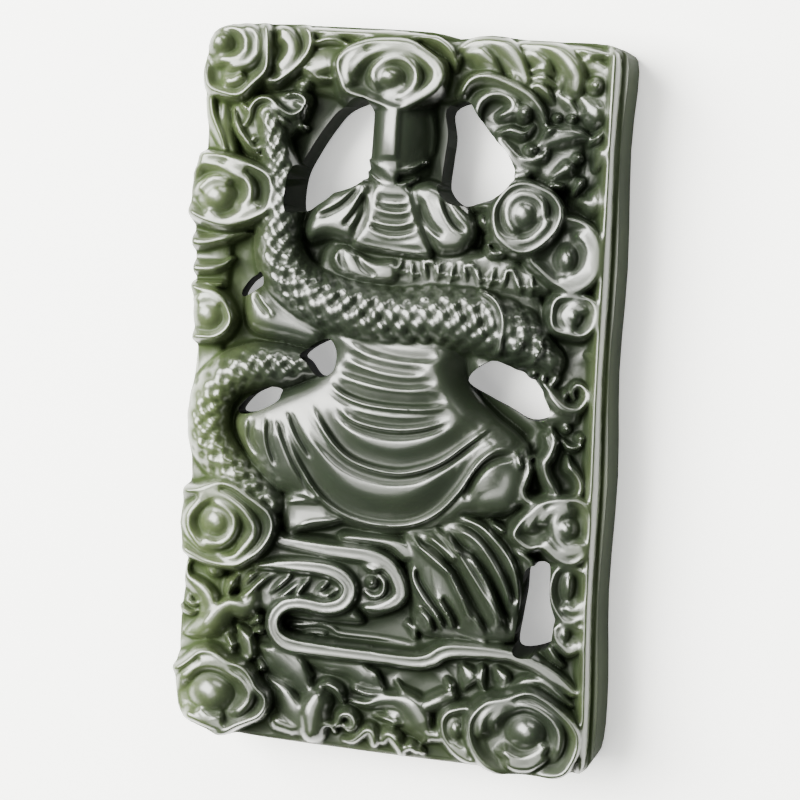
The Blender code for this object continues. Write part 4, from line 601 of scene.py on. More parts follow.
def carveWater(r):
    # the upper stream turns round a small swirl
    r.mound([(-12, -12.9), (-3, -12.8), (0.4, -13.3), (1.8, -14.6), (2.7, -16.9), (1.6, -18.3), (-0.6, -19.2),
             (-1.9, -18.6), (-2, -20), (-12, -19)], 5.6, 6.4, 0.8)
    r.blade([(-9.2, -13.2), (-5, -13.6), (-1, -13.8), (0.9, -14.7), (1.8, -16.4), (1.6, -17.4), (0.2, -18.2),
             (-1.2, -18.4)], [0.6, 0.7, 0.8, 0.85, 0.85, 0.8, 0.7, 0.4], 6.2, 1.3, 0, 5, 5, 0.6)
    r.ball(-0.75, -16.05, 0.5, 0.5, 6.4, 1.2)
    for line, widths in (([(-1.4, -16.9), (-0.6, -17.3), (0.2, -16.9), (0.3, -15.9), (-0.4, -15.3)],
                          [0.1, 0.2, 0.25, 0.25, 0.1]),
                         ([(-1.7, -14.6), (-0.8, -14.9), (0.3, -14.7)], [0.1, 0.45, 0.2])):
        r.blade(line, widths, 6.5, 0.8)
    # the ribbon of water below it, scooped between two lips
    r.blade([(-11.2, -15.6), (-9.0, -15.3), (-6, -15.2), (-4.0, -15.5), (-2.85, -16.4), (-2.8, -17.4),
             (-3.5, -18.3), (-5.0, -18.7), (-7.0, -18.5), (-8.6, -18.9), (-9.5, -20.2), (-9.2, -21.5),
             (-8.0, -22.2), (-5.5, -22.4), (-1, -22.5), (3.2, -22.6), (4.8, -22.2), (5.6, -21.6),
             (7.0, -21.2), (11, -21.1), (12.6, -21.4), (14.4, -22.0), (16.0, -22.9), (17.2, -23.8)],
            [0.3, 0.6, 0.75, 0.8, 0.85, 0.85, 0.8, 0.75, 0.75, 0.8, 0.85, 0.85, 0.8, 0.75, 0.75, 0.75,
             0.85, 0.9, 0.8, 0.75, 0.7, 0.7, 0.7, 0.5], 6.3, 1.75, 0, 6, 6, 0.75)
    for line in ([(-8.4, -20.7), (-7.0, -20.6), (-5.4, -20.4), (-4.2, -20.6), (-3.4, -21.0), (0, -21.05),
                  (3.2, -21.25), (3.9, -20.9)],
                 [(-6.8, -21.3), (-5.6, -21.15), (-4.6, -21.2)]):
        r.ridge(line, 0.6, 0.3, 0.22, 0.08)
    # reeds and pebbles at the left
    for line, widths in (([(-13.8, -18.2), (-13.5, -17.4), (-12.9, -16.5)], [0.3, 0.5, 0.15]),
                         ([(-12.2, -17.2), (-11.6, -16.4), (-10.9, -16.2)], [0.2, 0.35, 0.1]),
                         ([(-13.3, -18.8), (-12.0, -18.0), (-11.0, -17.0), (-10.5, -16.3)],
                          [0.05, 0.2, 0.2, 0.1]),
                         ([(-12.2, -18.6), (-11.4, -17.6), (-10.2, -16.5), (-9.4, -16.2)],
                          [0.3, 0.3, 0.25, 0.1]),
                         ([(-9.9, -17.9), (-9.0, -17.0), (-8.2, -16.2)], [0.1, 0.25, 0.2]),
                         ([(-9.6, -18.4), (-8.4, -17.7), (-7.2, -16.6)], [0.1, 0.2, 0.1]),
                         ([(-7.4, -17.6), (-6.9, -16.9), (-6.4, -16.3)], [0.3, 0.3, 0.15]),
                         ([(-5.8, -17.5), (-4.8, -17.6), (-3.7, -16.9)], [0.1, 0.25, 0.1]),
                         ([(-5.8, -17.4), (-5.2, -16.9), (-4.6, -16.3)], [0.1, 0.3, 0.1])):
        r.blade(line, [1.3 * width for width in widths], 6.0, 1.3)
    r.ball(-15.05, -16.2, 0.85, 0.8, 6.3, 1.3)
    # the branch and the curl beside it
    r.tongues((
        ([(-17.2, -15.3), (-17.9, -16.2), (-17.7, -17.2), (-16.8, -17.9), (-15.9, -18.7), (-15.5, -19.9),
          (-16.0, -21.2), (-17.2, -22.0)], [0.2, 0.3, 0.4, 0.6, 0.7, 0.6, 0.5, 0.2], 1.3, 0.4),
        ([(-17.4, -18.7), (-17.3, -19.4), (-16.8, -19.6), (-16.4, -19.2)], [0.05, 0.2, 0.2, 0.05], 1.2, 0),
        ([(-18.3, -19.6), (-17.7, -20.2), (-17.0, -20.4), (-16.5, -20.0)], [0.1, 0.2, 0.2, 0.05], 1.2, 0),
        ([(-17.6, -22.3), (-16.4, -22.2), (-15.2, -21.4), (-14.3, -20.2), (-13.4, -19.5), (-12.2, -19.6),
          (-11.4, -19.0), (-11.2, -18.0)], [0.1, 0.4, 0.7, 0.7, 0.6, 0.6, 0.5, 0.3], 1.5, 0.6),
        ([(-13.7, -22.1), (-13.2, -22.9)], [0.1, 0.25], 1.0, 0),
        ([(-13.9, -23.1), (-13.3, -23.6)], [0.1, 0.25], 1.0, 0),
        ([(-12.8, -21.2), (-12.0, -22.2), (-11.6, -23.5)], [0.1, 0.5, 0.4], 1.1, 0.5),
        ([(-12.2, -23.6), (-11.8, -24.1)], [0.1, 0.25], 1.0, 0),
        ([(-11.6, -20.9), (-10.9, -20.4)], [0.1, 0.25], 1.0, 0),
        ([(-11.3, -21.5), (-10.7, -21.4)], [0.1, 0.25], 1.0, 0),
        ([(-10.7, -24.1), (-10.4, -24.7)], [0.1, 0.25], 1.0, 0),
        ([(-18.6, -24.8), (-17.6, -24.0), (-17.2, -23.6)], [0.15, 0.2, 0.05], 1.0, 0),
        ([(-16.4, -23.3), (-15.6, -23.0), (-14.8, -23.0)], [0.05, 0.2, 0.05], 1.0, 0),
        # slabs under the ribbon
        ([(-10.5, -22.9), (-9.0, -23.6), (-7.6, -24.6), (-6.4, -26.0)], [0.15, 0.9, 1.0, 0.5], 1.2, 0.6),
        ([(-8.9, -22.8), (-7.4, -23.7), (-5.8, -24.9)], [0.05, 0.25, 0.1], 1.2, 0.4),
        ([(-9.6, -25.7), (-8.6, -26.6), (-7.6, -28.2), (-6.8, -29.6)], [0.15, 0.6, 0.8, 0.5], 1.1, 0.6),
        ([(-8.8, -29.4), (-7.4, -29.8)], [0.5, 0.4], 1.0, 0.2),
        ([(-6.6, -23.4), (-4.4, -23.8), (-2.2, -23.9), (-1.0, -24.6), (0.4, -25.4)],
         [0.2, 0.4, 0.5, 0.7, 0.3], 0.9, 0.6),
        ([(-1.2, -23.8), (-0.4, -24.0), (0.6, -25.2)], [0.1, 0.3, 0.1], 1.0, 0.4),
        # waves along the foot
        ([(-5.2, -25.7), (-4.4, -25.45), (-3.4, -25.9), (-2.9, -26.8)], [0.1, 0.3, 0.35, 0.2], 1.5, 0.3),
        ([(-5.5, -29.6), (-5.5, -28.0), (-5.1, -27.0)], [0.8, 0.95, 0.8], 1.7, 0.2),
        ([(-4.7, -29.6), (-4.6, -29.1), (-3.8, -29.05), (-3.5, -29.6)], [0.15, 0.2, 0.2, 0.15], 1.3, 0),
        ([(-3.2, -28.9), (-3.0, -28.1), (-2.3, -27.9), (-1.8, -28.5), (-2.1, -29.1), (-2.7, -28.9)],
         [0.25, 0.3, 0.35, 0.4, 0.35, 0.2], 1.5, 0.2),
        ([(-2.6, -30.3), (-1.8, -30.2), (-1.1, -29.6), (-0.6, -29.1), (-0.1, -29.3), (0.1, -30.2)],
         [0.15, 0.25, 0.3, 0.35, 0.4, 0.3], 1.5, 0.2),
        ([(0.9, -29.9), (1.2, -29.3), (1.8, -29.5), (2.4, -30.4), (2.6, -30.9)], [0.3, 0.4, 0.5, 0.35, 0.2],
         1.5, 0.2),
        ([(2.8, -30.5), (3.3, -30.1), (3.9, -30.4)], [0.2, 0.35, 0.25], 1.4, 0.2),
        ([(4.2, -30.0), (4.4, -30.5)], [0.1, 0.2], 1.2, 0),
        ([(-2.3, -26.75), (-0.8, -26.9), (0.6, -26.5), (2.0, -26.4), (3.2, -27.0), (4.0, -28.2),
          (4.6, -29.2)], [0.1, 0.25, 0.4, 0.6, 0.9, 0.9, 0.4], 1.5, 0.5),
        ([(2.6, -27.2), (3.8, -27.0), (4.8, -26.4), (5.8, -25.9), (6.9, -25.4)], [0.2, 0.4, 0.5, 0.5, 0.3],
         1.4, 0.3),
        ([(0, -27.8), (1.0, -27.9), (1.9, -28.2), (2.8, -28.2)], [0.05, 0.2, 0.25, 0.1], 1.3, 0.2),
        ([(1.0, -27.3), (2.0, -27.6), (2.8, -27.9)], [0.1, 0.4, 0.1], 1.0, 0),
        ([(-1.9, -25.6), (-0.6, -25.9), (1.2, -25.6)], [0.15, 0.2, 0.1], 1.2, 0.2),
        ([(1.8, -24.5), (2.4, -25.2), (3.6, -25.7), (4.3, -26.0), (5.2, -25.5), (6.2, -25.0), (7.0, -24.8)],
         [0.05, 0.2, 0.25, 0.25, 0.25, 0.25, 0.1], 1.2, -0.3),
        ([(4.8, -28.8), (5.8, -28.9)], [0.5, 0.45], 1.3, 0),
        # leaves right of the ribbon
        ([(7.6, -22.6), (8.1, -23.4), (7.8, -24.4)], [0.2, 0.6, 0.2], 0.9, 0.4),
        ([(9.3, -22.6), (9.2, -23.6), (9.5, -24.4)], [0.2, 0.3, 0.15], 0.9, 0.2),
        ([(10.6, -22.6), (11.1, -23.3), (11.0, -24.1)], [0.2, 0.5, 0.2], 0.9, 0.4),
        ([(11.8, -24.0), (12.8, -23.4), (13.6, -23.2), (14.6, -23.3), (16, -24.2), (17.2, -25.0)],
         [0.2, 0.3, 0.35, 0.35, 0.3, 0.15], 1.2, 0.3),
        ([(6.3, -24.0), (6.6, -24.4)], [0.15, 0.3], 1.0, 0)), 1.75, 6.0)


# Small ornaments between the lap and the right side
def carveFlames(r):
    r.tongues((
        ([(13.0, 2.4), (13.8, 1.7), (14.4, 0.9), (15.2, 0.35), (16.2, 0.4), (16.8, 1.2), (16.7, 2.0),
          (16.1, 2.35), (15.7, 1.8), (15.9, 1.2)],
         [0.15, 0.3, 0.45, 0.5, 0.4, 0.35, 0.3, 0.25, 0.2, 0.1], 1.5, -0.3),
        ([(13.9, -0.6), (14.6, -0.4), (15.9, -0.3)], [0.5, 0.6, 0.4], 1.0, 0.2),
        ([(13.4, 0.9), (13.6, 0.2)], [0.35, 0.3], 0.9, 0),
        ([(14.0, 2.4), (14.4, 2.9)], [0.25, 0.2], 1.0, 0),
        ([(15.1, 1.3), (15.1, 1.7)], [0.2, 0.15], 0.9, 0),
        ([(16.9, 5.0), (17.7, 4.3), (18.2, 3.5)], [0.15, 0.35, 0.15], 1.3, 0),
        ([(17.6, 3.2), (18.1, 2.7), (18.1, 2.2)], [0.1, 0.3, 0.1], 1.3, 0),
        ([(14.1, -1.8), (14.4, -2.6), (14.0, -3.8), (13.6, -4.5), (13.9, -5.6), (14.4, -6.4), (14.9, -7.2)],
         [0.25, 0.35, 0.45, 0.45, 0.4, 0.4, 0.3], 1.6, 0),
        ([(13.6, -2.1), (13.9, -2.8)], [0.15, 0.25], 1.2, 0),
        ([(12.8, -3.95), (12.3, -4.3), (12.4, -5.2), (12.1, -6.2), (11.9, -7.0), (12.4, -7.8), (13.4, -7.7),
          (14.1, -7.1), (14.1, -6.4)], [0.1, 0.25, 0.3, 0.35, 0.35, 0.35, 0.3, 0.25, 0.1], 1.4, 0),
        ([(15.6, -3.9), (15.8, -4.6), (16.4, -5.2), (16.8, -6.0), (16.7, -6.8), (16.0, -7.3), (15.2, -7.3),
          (14.7, -6.9)], [0.2, 0.35, 0.3, 0.3, 0.3, 0.3, 0.3, 0.15], 1.4, 0),
        ([(17.5, -5.1), (17.9, -6.0)], [0.15, 0.35], 1.1, 0),
        ([(17.9, -4.3), (18.2, -4.8)], [0.1, 0.25], 1.1, 0),
        ([(10.9, -8.4), (11.6, -7.8)], [0.1, 0.35], 1.3, 0),
        ([(9.6, -10.0), (10.4, -10.5)], [0.15, 0.25], 1.2, 0),
        ([(11.3, -3.9), (11.6, -4.8)], [0.15, 0.2], 1.9, 0),
        ([(15.0, -2.2), (15.6, -2.9), (16.4, -2.9), (16.9, -2.4)], [0.05, 0.2, 0.2, 0.05], 1.1, 0),
        ([(17.6, 9.8), (17.9, 9.2), (18.0, 8.3)], [0.1, 0.3, 0.1], 1.2, 0),
        ([(14.4, 9.7), (15.6, 9.5), (16.6, 9.7)], [0.1, 0.2, 0.1], 1.6, 0),
        ([(18.2, -13.2), (18.6, -14.0), (18.2, -14.8)], [0.1, 0.2, 0.1], 1.4, 0),
        ([(14.9, -20.2), (15.4, -20.9), (16.2, -21.6)], [0.3, 0.3, 0.15], 1.2, 0.2),
        ([(6.9, 16.8), (7.7, 16.8), (8.0, 16.2)], [0.2, 0.35, 0.15], 1.4, 0),
        ([(7.2, 15.9), (7.4, 15.3), (7.6, 14.9)], [0.2, 0.25, 0.1], 1.3, 0),
        ([(7.7, 14.4), (8.1, 14.0), (8.6, 13.9)], [0.1, 0.25, 0.1], 1.4, 0),
        ([(7.8, 13.5), (8.2, 12.95), (9.0, 12.85), (9.8, 13.1)], [0.15, 0.3, 0.25, 0.05], 1.5, 0),
        ([(9.2, 13.6), (9.9, 13.3)], [0.1, 0.2], 1.4, 0),
        ([(6.3, 11.0), (6.6, 11.8), (6.9, 12.2)], [0.2, 0.35, 0.1], 0.9, 0)), 1.8, 6.0, 1.1)
    for cx, cy in ((12.3, 3.0), (13.3, 3.4), (13.1, 2.6), (15.4, -1.4), (16.6, -2.1)):
        r.ball(cx, cy, 0.42, 0.42, 6.3, 0.9)


def carveBack(r):
    carveFrame(r)
    carveFigure(r)
    carveRocks(r)
    carveDragon(r)
    carveWater(r)
    carveHead(r)
    carveFlames(r)
    for boss, crests, outer, top, depth in clouds:
        r.cloud(boss, crests, outer, top, 1.1 * depth)
    # plain rim down the right side
    r.mound([(17.2, 31), (21, 31), (21, -31), (17.9, -31), (17.5, -20), (17.2, 0)], 6.9, drawing["rim"],
            0.55, 1)
    r.ridge([(19.3, 32), (19.3, 0), (19.7, -32)], -1.2, 2.3, 2.3, 0.01)
    r.ridge([(18.4, 32), (18.4, 0), (18.9, -32)], -0.45, 1.0, 1.0, 0.01)


# Plaque: what a user would change
plaque = {
    "cell": 0.105, "underCell": 1.0,  # grid steps on the drawing
    "reachX": 20.0, "reachY": 33.0,  # half sizes of the grid
    "polish": 0.10, "edgeRound": 0.7, "underRound": 0.0005,
    "border": 0.0042, "underSink": 0.0006,
    "triangles": 192000, "fewerTriangles": 3000, "leastShare": 0.9,  # a failed cut is made again with fewer
    "wholeShare": 0.7, "widthSlack": 0.02,  # what a sound cut keeps of the triangles, and its error in width
    "smoothAngle": 60, "shadeReach": 0.13, "shadeSlack": 0.12, "shadeFacing": 0.5,
    "wallTop": 0.6, "wallSlope": 0.45,  # walls start below this share of the rim, and are steeper than this
}


def selectOnly(*pieces):
    bpy.ops.object.select_all(action="DESELECT")
    for piece in pieces:
        piece.select_set(True)
    bpy.context.view_layer.objects.active = pieces[0]


def applyModifier(piece, kind, **values):
    selectOnly(piece)
    modifier = piece.modifiers.new(kind.lower(), kind)
    for key, value in values.items():
        setattr(modifier, key, value)
    bpy.ops.object.modifier_apply(modifier=modifier.name)


def addSheet(name, relief, flip=False):
    ny, nx = relief.z.shape
    bpy.ops.mesh.primitive_grid_add(x_subdivisions=nx - 1, y_subdivisions=ny - 1, size=1)
    sheet = bpy.context.object
    sheet.name = name
    places = np.stack([relief.x * unitX, relief.y * unitY, relief.z * unitZ * (-1 if flip else 1)], -1)
    sheet.data.vertices.foreach_set("co", places.reshape(-1).astype(np.float32))
    if flip:
        sheet.data.flip_normals()
    return sheet


def buildBlock(back, front):
    top, under = addSheet("plaqueBack", back), addSheet("plaqueFront", front, flip=True)
    selectOnly(top, under)
    bpy.ops.object.join()
    block = bpy.context.object
    bpy.ops.object.mode_set(mode="EDIT")
    bpy.ops.mesh.select_mode(type="EDGE")
    bpy.ops.mesh.select_all(action="DESELECT")
    bpy.ops.mesh.select_non_manifold()
    bpy.ops.mesh.bridge_edge_loops()
    bpy.ops.mesh.select_all(action="SELECT")
    bpy.ops.mesh.normals_make_consistent(inside=False)
    bpy.ops.object.mode_set(mode="OBJECT")
    return block


def anticlockwise(path):
    area = np.sum(path[:, 0] * np.roll(path[:, 1], -1) - path[:, 1] * np.roll(path[:, 0], -1))
    return path if area > 0 else path[::-1]


def outwardOf(path):
    step = np.roll(path, -1, 0) - np.roll(path, 1, 0)
    normal = np.column_stack([step[:, 1], -step[:, 0]])
    return normal / np.hypot(normal[:, 0], normal[:, 1])[:, None]


def loft(name, rings):  # a closed solid through stacked rings, each running anticlockwise
    count = len(rings[0])
    faces = [list(range(count))[::-1], [count * (len(rings) - 1) + k for k in range(count)]]
    for row in range(len(rings) - 1):
        for k in range(count):
            n = (k + 1) % count
            faces.append([row * count + k, row * count + n, (row + 1) * count + n, (row + 1) * count + k])
    mesh = bpy.data.meshes.new(name)
    mesh.from_pydata([p for ring in rings for p in ring], [], faces)
    solid = bpy.data.objects.new(name, mesh)
    bpy.context.scene.collection.objects.link(solid)
    return solid


def outlineSolid(path):
    inner = path - outwardOf(path) * plaque["underRound"] / unitX
    levels = ((inner, 0.0), (path, plaque["underRound"]), (path, 2 * drawing["rimHeight"]))
    return loft("outlineSolid", [[(x * unitX, y * unitY, level) for x, y in ring] for ring, level in levels])


# The hidden front is plainer: a flat border, and sunk inside it a shallow seated figure
frontForms = (
    [(0, 24.6), (-2.6, 23.4), (-3.2, 20.6), (-2.2, 17.4), (2.2, 17.4), (3.2, 20.6), (2.6, 23.4)],
    [(-3, 17.8), (-6.6, 15.2), (-8, 9), (-6.6, 0.8), (6.6, 0.8), (8, 9), (6.6, 15.2), (3, 17.8)],
    [(-6, 1.4), (-11.6, -1.6), (-12.4, -6), (-8.4, -9.6), (0, -10.6), (8.4, -9.6), (12.4, -6),
     (11.6, -1.6), (6, 1.4)])


def roundedRectangle(halfX, halfY, corner, count=11):
    ring = []
    for quarter, (sx, sy) in enumerate(((1, 1), (-1, 1), (-1, -1), (1, -1))):
        for k in range(count):
            angle = (quarter + k / (count - 1)) * math.pi / 2
            ring.append((sx * (halfX - corner) + corner * math.cos(angle),
                         sy * (halfY - corner) + corner * math.sin(angle)))
    return np.array(ring)


def recessCutter():
    sink, border = plaque["underSink"], plaque["border"]
    rings = []
    for inset, level in ((-0.0006, -sink), (0, 0), (0.15 * sink, 0.4 * sink), (0.6 * sink, 0.85 * sink),
                         (1.5 * sink, sink)):
        ring = roundedRectangle(drawing["width"] / 2 - border - inset, drawing["length"] / 2 - border - inset,
                                border - inset)
        rings.append([(x, y, level) for x, y in ring + (middleX * unitX, middleY * unitY)])
    return loft("recess", rings)


def frontForm(name, points):  # material left standing in the recess
    path = anticlockwise(curve(points, 8, True)) * (unitX, unitY)
    middle = path.mean(0)
    rings = []
    for share, rise in ((0.30, 0.90), (0.62, 0.85), (0.78, 0.74), (0.90, 0.5), (0.97, 0.24),
                        (1, 0), (1, -0.6)):
        rings.append([(x, y, plaque["underSink"] * (1 - rise)) for x, y in middle + (path - middle) * share])
    return loft(name, rings)


def openingCutter(name, points, wall):
    path = anticlockwise(curve(points, 6, True))
    slope = np.array([drawing["leanX"], drawing["leanY"]])
    weight = fade(0.5 - 1.5 * (outwardOf(path) @ (slope / np.hypot(*slope))))[:, None]
    for _ in range(6):
        weight = (np.roll(weight, 1, 0) + 2 * weight + np.roll(weight, -1, 0)) / 4
    top = path - weight * np.array([wall, 0.35 * wall])
    bottom = path - weight * slope * drawing["rim"]
    rings = [[(x * unitX, y * unitY, share * drawing["rimHeight"])
              for x, y in bottom + (top - bottom) * share]
             for share in (-0.1, 1.2)]
    return loft(name, rings)


# trims a copy of the block to the outline, sinks its front and opens it
def cutOut(block, triangles):
    piece = block.copy()
    piece.data = block.data.copy()
    bpy.context.scene.collection.objects.link(piece)
    applyModifier(piece, "DECIMATE", ratio=triangles / (2 * len(piece.data.polygons)),
                  use_collapse_triangulate=True)
    # the cuts lean away below the level of the rim
    places = np.empty(len(piece.data.vertices) * 3, np.float32)
    piece.data.vertices.foreach_get("co", places)
    places = places.reshape(-1, 3)
    depth = np.where(places[:, 2] > drawing["rimHeight"] / 2, drawing["rim"] - places[:, 2] / unitZ, 0)
    places[:, 0] -= drawing["leanX"] * depth * unitX
    places[:, 1] -= drawing["leanY"] * depth * unitY
    piece.data.vertices.foreach_set("co", places.reshape(-1))
    solid, recess = outlineSolid(outline), recessCutter()
    forms = [frontForm("form%d" % k, points) for k, points in enumerate(frontForms)]
    for form in forms:
        applyModifier(recess, "BOOLEAN", operation="DIFFERENCE", solver="EXACT", object=form)
    applyModifier(piece, "BOOLEAN", operation="INTERSECT", solver="EXACT", object=solid)
    applyModifier(piece, "BOOLEAN", operation="DIFFERENCE", solver="EXACT", object=recess)
    cutters = [openingCutter("opening%d" % k, points, wall) for k, (points, wall) in enumerate(openings)]
    selectOnly(*cutters)
    bpy.ops.object.join()
    cutter = bpy.context.object
    applyModifier(piece, "BOOLEAN", operation="DIFFERENCE", solver="EXACT", object=cutter)
    for tool in (solid, recess, cutter, *forms):
        bpy.data.objects.remove(tool, do_unlink=True)
    return piece


def isWhole(piece, triangles):
    across = [vertex.co.x for vertex in piece.data.vertices]
    return (len(piece.data.polygons) > plaque["wholeShare"] * triangles
            and abs(max(across) - min(across) - drawing["width"]) < plaque["widthSlack"] * drawing["width"])


def buildPlaque():
    xs = np.arange(-plaque["reachX"], plaque["reachX"] + 1e-6, plaque["cell"])
    ys = np.arange(-plaque["reachY"], plaque["reachY"] + 1e-6, plaque["cell"])
    back = Relief(xs, ys, drawing["ground"])
    carveBack(back)
    back.polish(plaque["polish"])
    w, d = back.inside(outline, 1.0)
    q = 1 - np.clip(d / plaque["edgeRound"], 0, 1)
    back.z[w] -= plaque["edgeRound"] * (1 - np.sqrt(np.clip(1 - q**2, 0, 1)))
    print("back carved", back.z.shape)
    ux = np.linspace(xs[0], xs[-1], int(2 * plaque["reachX"] / plaque["underCell"]) + 1)
    uy = np.linspace(ys[0], ys[-1], int(2 * plaque["reachY"] / plaque["underCell"]) + 1)
    front = Relief(ux, uy, drawing["rim"] / 4)
    block = buildBlock(back, front)
    print("block joined", len(block.data.polygons))
    triangles = plaque["triangles"]
    piece = cutOut(block, triangles)
    while not isWhole(piece, triangles) and triangles > plaque["leastShare"] * plaque["triangles"]:
        print("a cut went wrong at", triangles, "triangles, so it is made again with fewer")
        bpy.data.objects.remove(piece, do_unlink=True)
        triangles -= plaque["fewerTriangles"]
        piece = cutOut(block, triangles)
    bpy.data.objects.remove(block, do_unlink=True)
    # move the middle of the underside to the origin
    selectOnly(piece)
    for vertex in piece.data.vertices:
        vertex.co.x -= middleX * unitX
        vertex.co.y -= middleY * unitY
    piece.name = "jadePlaque"
    piece.data.name = "jadePlaque"
    bpy.ops.object.shade_smooth_by_angle(angle=math.radians(plaque["smoothAngle"]))
    print("plaque trimmed and opened", len(piece.data.polygons))
    return piece, back


# Shader sockets as Python expressions
class Shade:
    def __init__(self, material):
        self.tree = material.node_tree

    def node(self, kind, settings=None, **inputs):
        item = self.tree.nodes.new(kind)
        for key, value in (settings or {}).items():
            setattr(item, key, value)
        for key, value in inputs.items():
            numbered = key[0] == "i" and key[1:].isdigit()
            socket = item.inputs[int(key[1:]) if numbered else key.replace("_", " ")]
            if isinstance(value, Term):
                self.tree.links.new(value.socket, socket)
            else:
                socket.default_value = value
        return item

    def term(self, kind, settings=None, output=0, **inputs):
        return Term(self, self.node(kind, settings, **inputs).outputs[output])

    def math(self, operation, a, b=0.0, clamp=False):
        return self.term("ShaderNodeMath", {"operation": operation, "use_clamp": clamp}, i0=a, i1=b)

    def mix(self, share, a, b, blend="MIX"):
        a, b = ((*v, 1) if isinstance(v, tuple) else v for v in (a, b))
        settings = {"data_type": "RGBA", "blend_type": blend}
        return self.term("ShaderNodeMix", settings, output=2, i0=share, i6=a, i7=b)


class Term:
    def __init__(self, shade, socket):
        self.shade, self.socket = shade, socket

    def __add__(self, other): return self.shade.math("ADD", self, other)
    def __radd__(self, other): return self.shade.math("ADD", other, self)
    def __sub__(self, other): return self.shade.math("SUBTRACT", self, other)
    def __rsub__(self, other): return self.shade.math("SUBTRACT", other, self)
    def __mul__(self, other): return self.shade.math("MULTIPLY", self, other)
    def __rmul__(self, other): return self.shade.math("MULTIPLY", other, self)
    def clamped(self): return self.shade.math("ADD", self, 0.0, True)
    def larger(self, other): return self.shade.math("MAXIMUM", self, other)


jadeLook = {
    "deep": (0.006, 0.009, 0.006), "body": (0.015, 0.020, 0.011), "edge": (0.046, 0.062, 0.024),
    # the first colour on the next line is painted shade, multiplied into the jade where it lies in a hollow
    "hollowShade": (0.60, 0.66, 0.55), "roughness": 0.27, "coat": 0.2, "coatRoughness": 0.12,
    "subsurface": 0.08, "scatterRadius": (0.7, 1.0, 0.6), "scatter": 0.0008, "ior": 1.66,
    "cloudScale": 110.0, "fineScale": 1100.0, "bump": 0.015, "bumpDepth": 0.0002,
    # the side's scant shine and weak pale edge keep it darker: painted shade
    "dullRoughness": 0.6, "dullShine": 0.04, "wallShine": 0.012, "wallThin": 0.25,
    "hollowShadeShare": 0.95, "hollowRoughness": 0.25, "fineRoughness": 0.04, "dullFrom": 0.05,
    # edges that let light in: where the pale starts, its rise for each metre and its strength
    "left": (0.0105, 150.0, 1.0), "right": (0.0160, 300.0, 0.8),
    "top": (0.0250, 200.0, 0.6), "foot": (0.0265, 180.0, 0.35),
    # hollows, painted darker as shade, on the drawing: reach, full depth and share of a broad dip and of a
    # fine cut
    "dip": (0.7, 0.8, 0.3), "cut": (0.24, 0.11, 0.85),
    # the low ground is painted in shade as well
    "low": (5.8, 1.0, 0.9),  # the low ground: its level, full depth and share
}


def jadeMaterial(name, wall=False):
    material = bpy.data.materials.new(name)
    material.use_nodes = True
    material.node_tree.nodes.clear()
    shade = Shade(material)
    place = shade.term("ShaderNodeTexCoord", output=3)
    axes = shade.node("ShaderNodeSeparateXYZ", i0=place)
    x, y = (Term(shade, axes.outputs[k]) for k in range(2))
    cloud = shade.term("ShaderNodeTexNoise", Vector=place, Scale=jadeLook["cloudScale"],
                       Detail=4.0, Roughness=0.6)

    def pale(side, way):
        start, rise, strength = jadeLook[side]
        return ((way - start) * rise).clamped() * strength

    # painted light: the edges are painted paler where light comes in through the stone, broken up by the
    # cloud noise
    sides = pale("left", x * -1.0).larger(pale("right", x))
    ends = pale("top", y).larger(pale("foot", y * -1.0))
    thin = (sides.larger(ends) * (cloud * 2.2 - 0.25)).clamped()
    body = shade.mix(cloud, jadeLook["deep"], jadeLook["body"])
    # painted shade: the side and the openings are a darker copy of the jade, with almost no shine and little
    # of the pale edges
    if wall:  # the side and the openings are left dull all over
        shaded = shade.mix(thin * jadeLook["wallThin"], body, jadeLook["edge"])
        satin = shade.term("ShaderNodeBsdfPrincipled", Base_Color=shaded, Roughness=jadeLook["dullRoughness"],
                           IOR=jadeLook["ior"], Specular_IOR_Level=jadeLook["wallShine"])
        shade.node("ShaderNodeOutputMaterial", Surface=satin)
        return material
    fine = shade.term("ShaderNodeTexNoise", Vector=place, Scale=jadeLook["fineScale"],
                      Detail=3.0, Roughness=0.6)
    hollowShade = shade.term("ShaderNodeAttribute", {"attribute_name": "hollowShade"}, output=2)
    clear = shade.mix(thin, body, jadeLook["edge"])
    # painted shade: the colour is multiplied darker where the point lies deep in a hollow
    shaded = shade.mix((hollowShade * jadeLook["hollowShadeShare"]).clamped(), clear, jadeLook["hollowShade"], "MULTIPLY")
    worn = hollowShade * jadeLook["hollowRoughness"] + fine * jadeLook["fineRoughness"]
    rough = (worn + jadeLook["roughness"]).clamped()
    bump = shade.term("ShaderNodeBump", Height=fine + cloud * 0.5, Strength=jadeLook["bump"],
                      Distance=jadeLook["bumpDepth"])
    polished = shade.term("ShaderNodeBsdfPrincipled", Base_Color=shaded, Roughness=rough, Normal=bump,
                          IOR=jadeLook["ior"], Coat_Weight=jadeLook["coat"],
                          Coat_Roughness=jadeLook["coatRoughness"], Subsurface_Weight=jadeLook["subsurface"],
                          Subsurface_Radius=jadeLook["scatterRadius"], Subsurface_Scale=jadeLook["scatter"])
    dull = shade.term("ShaderNodeBsdfPrincipled", Base_Color=shaded, Roughness=jadeLook["dullRoughness"],
                      Normal=bump, IOR=jadeLook["ior"], Specular_IOR_Level=jadeLook["dullShine"])
    # hollows stay duller than what the polishing cloth reaches, and lose most of their shine as painted shade
    share = (hollowShade * jadeLook["hollowShadeShare"] - jadeLook["dullFrom"]).clamped()
    surface = shade.term("ShaderNodeMixShader", i0=share, i1=polished, i2=dull)
    shade.node("ShaderNodeOutputMaterial", Surface=surface)
    return material


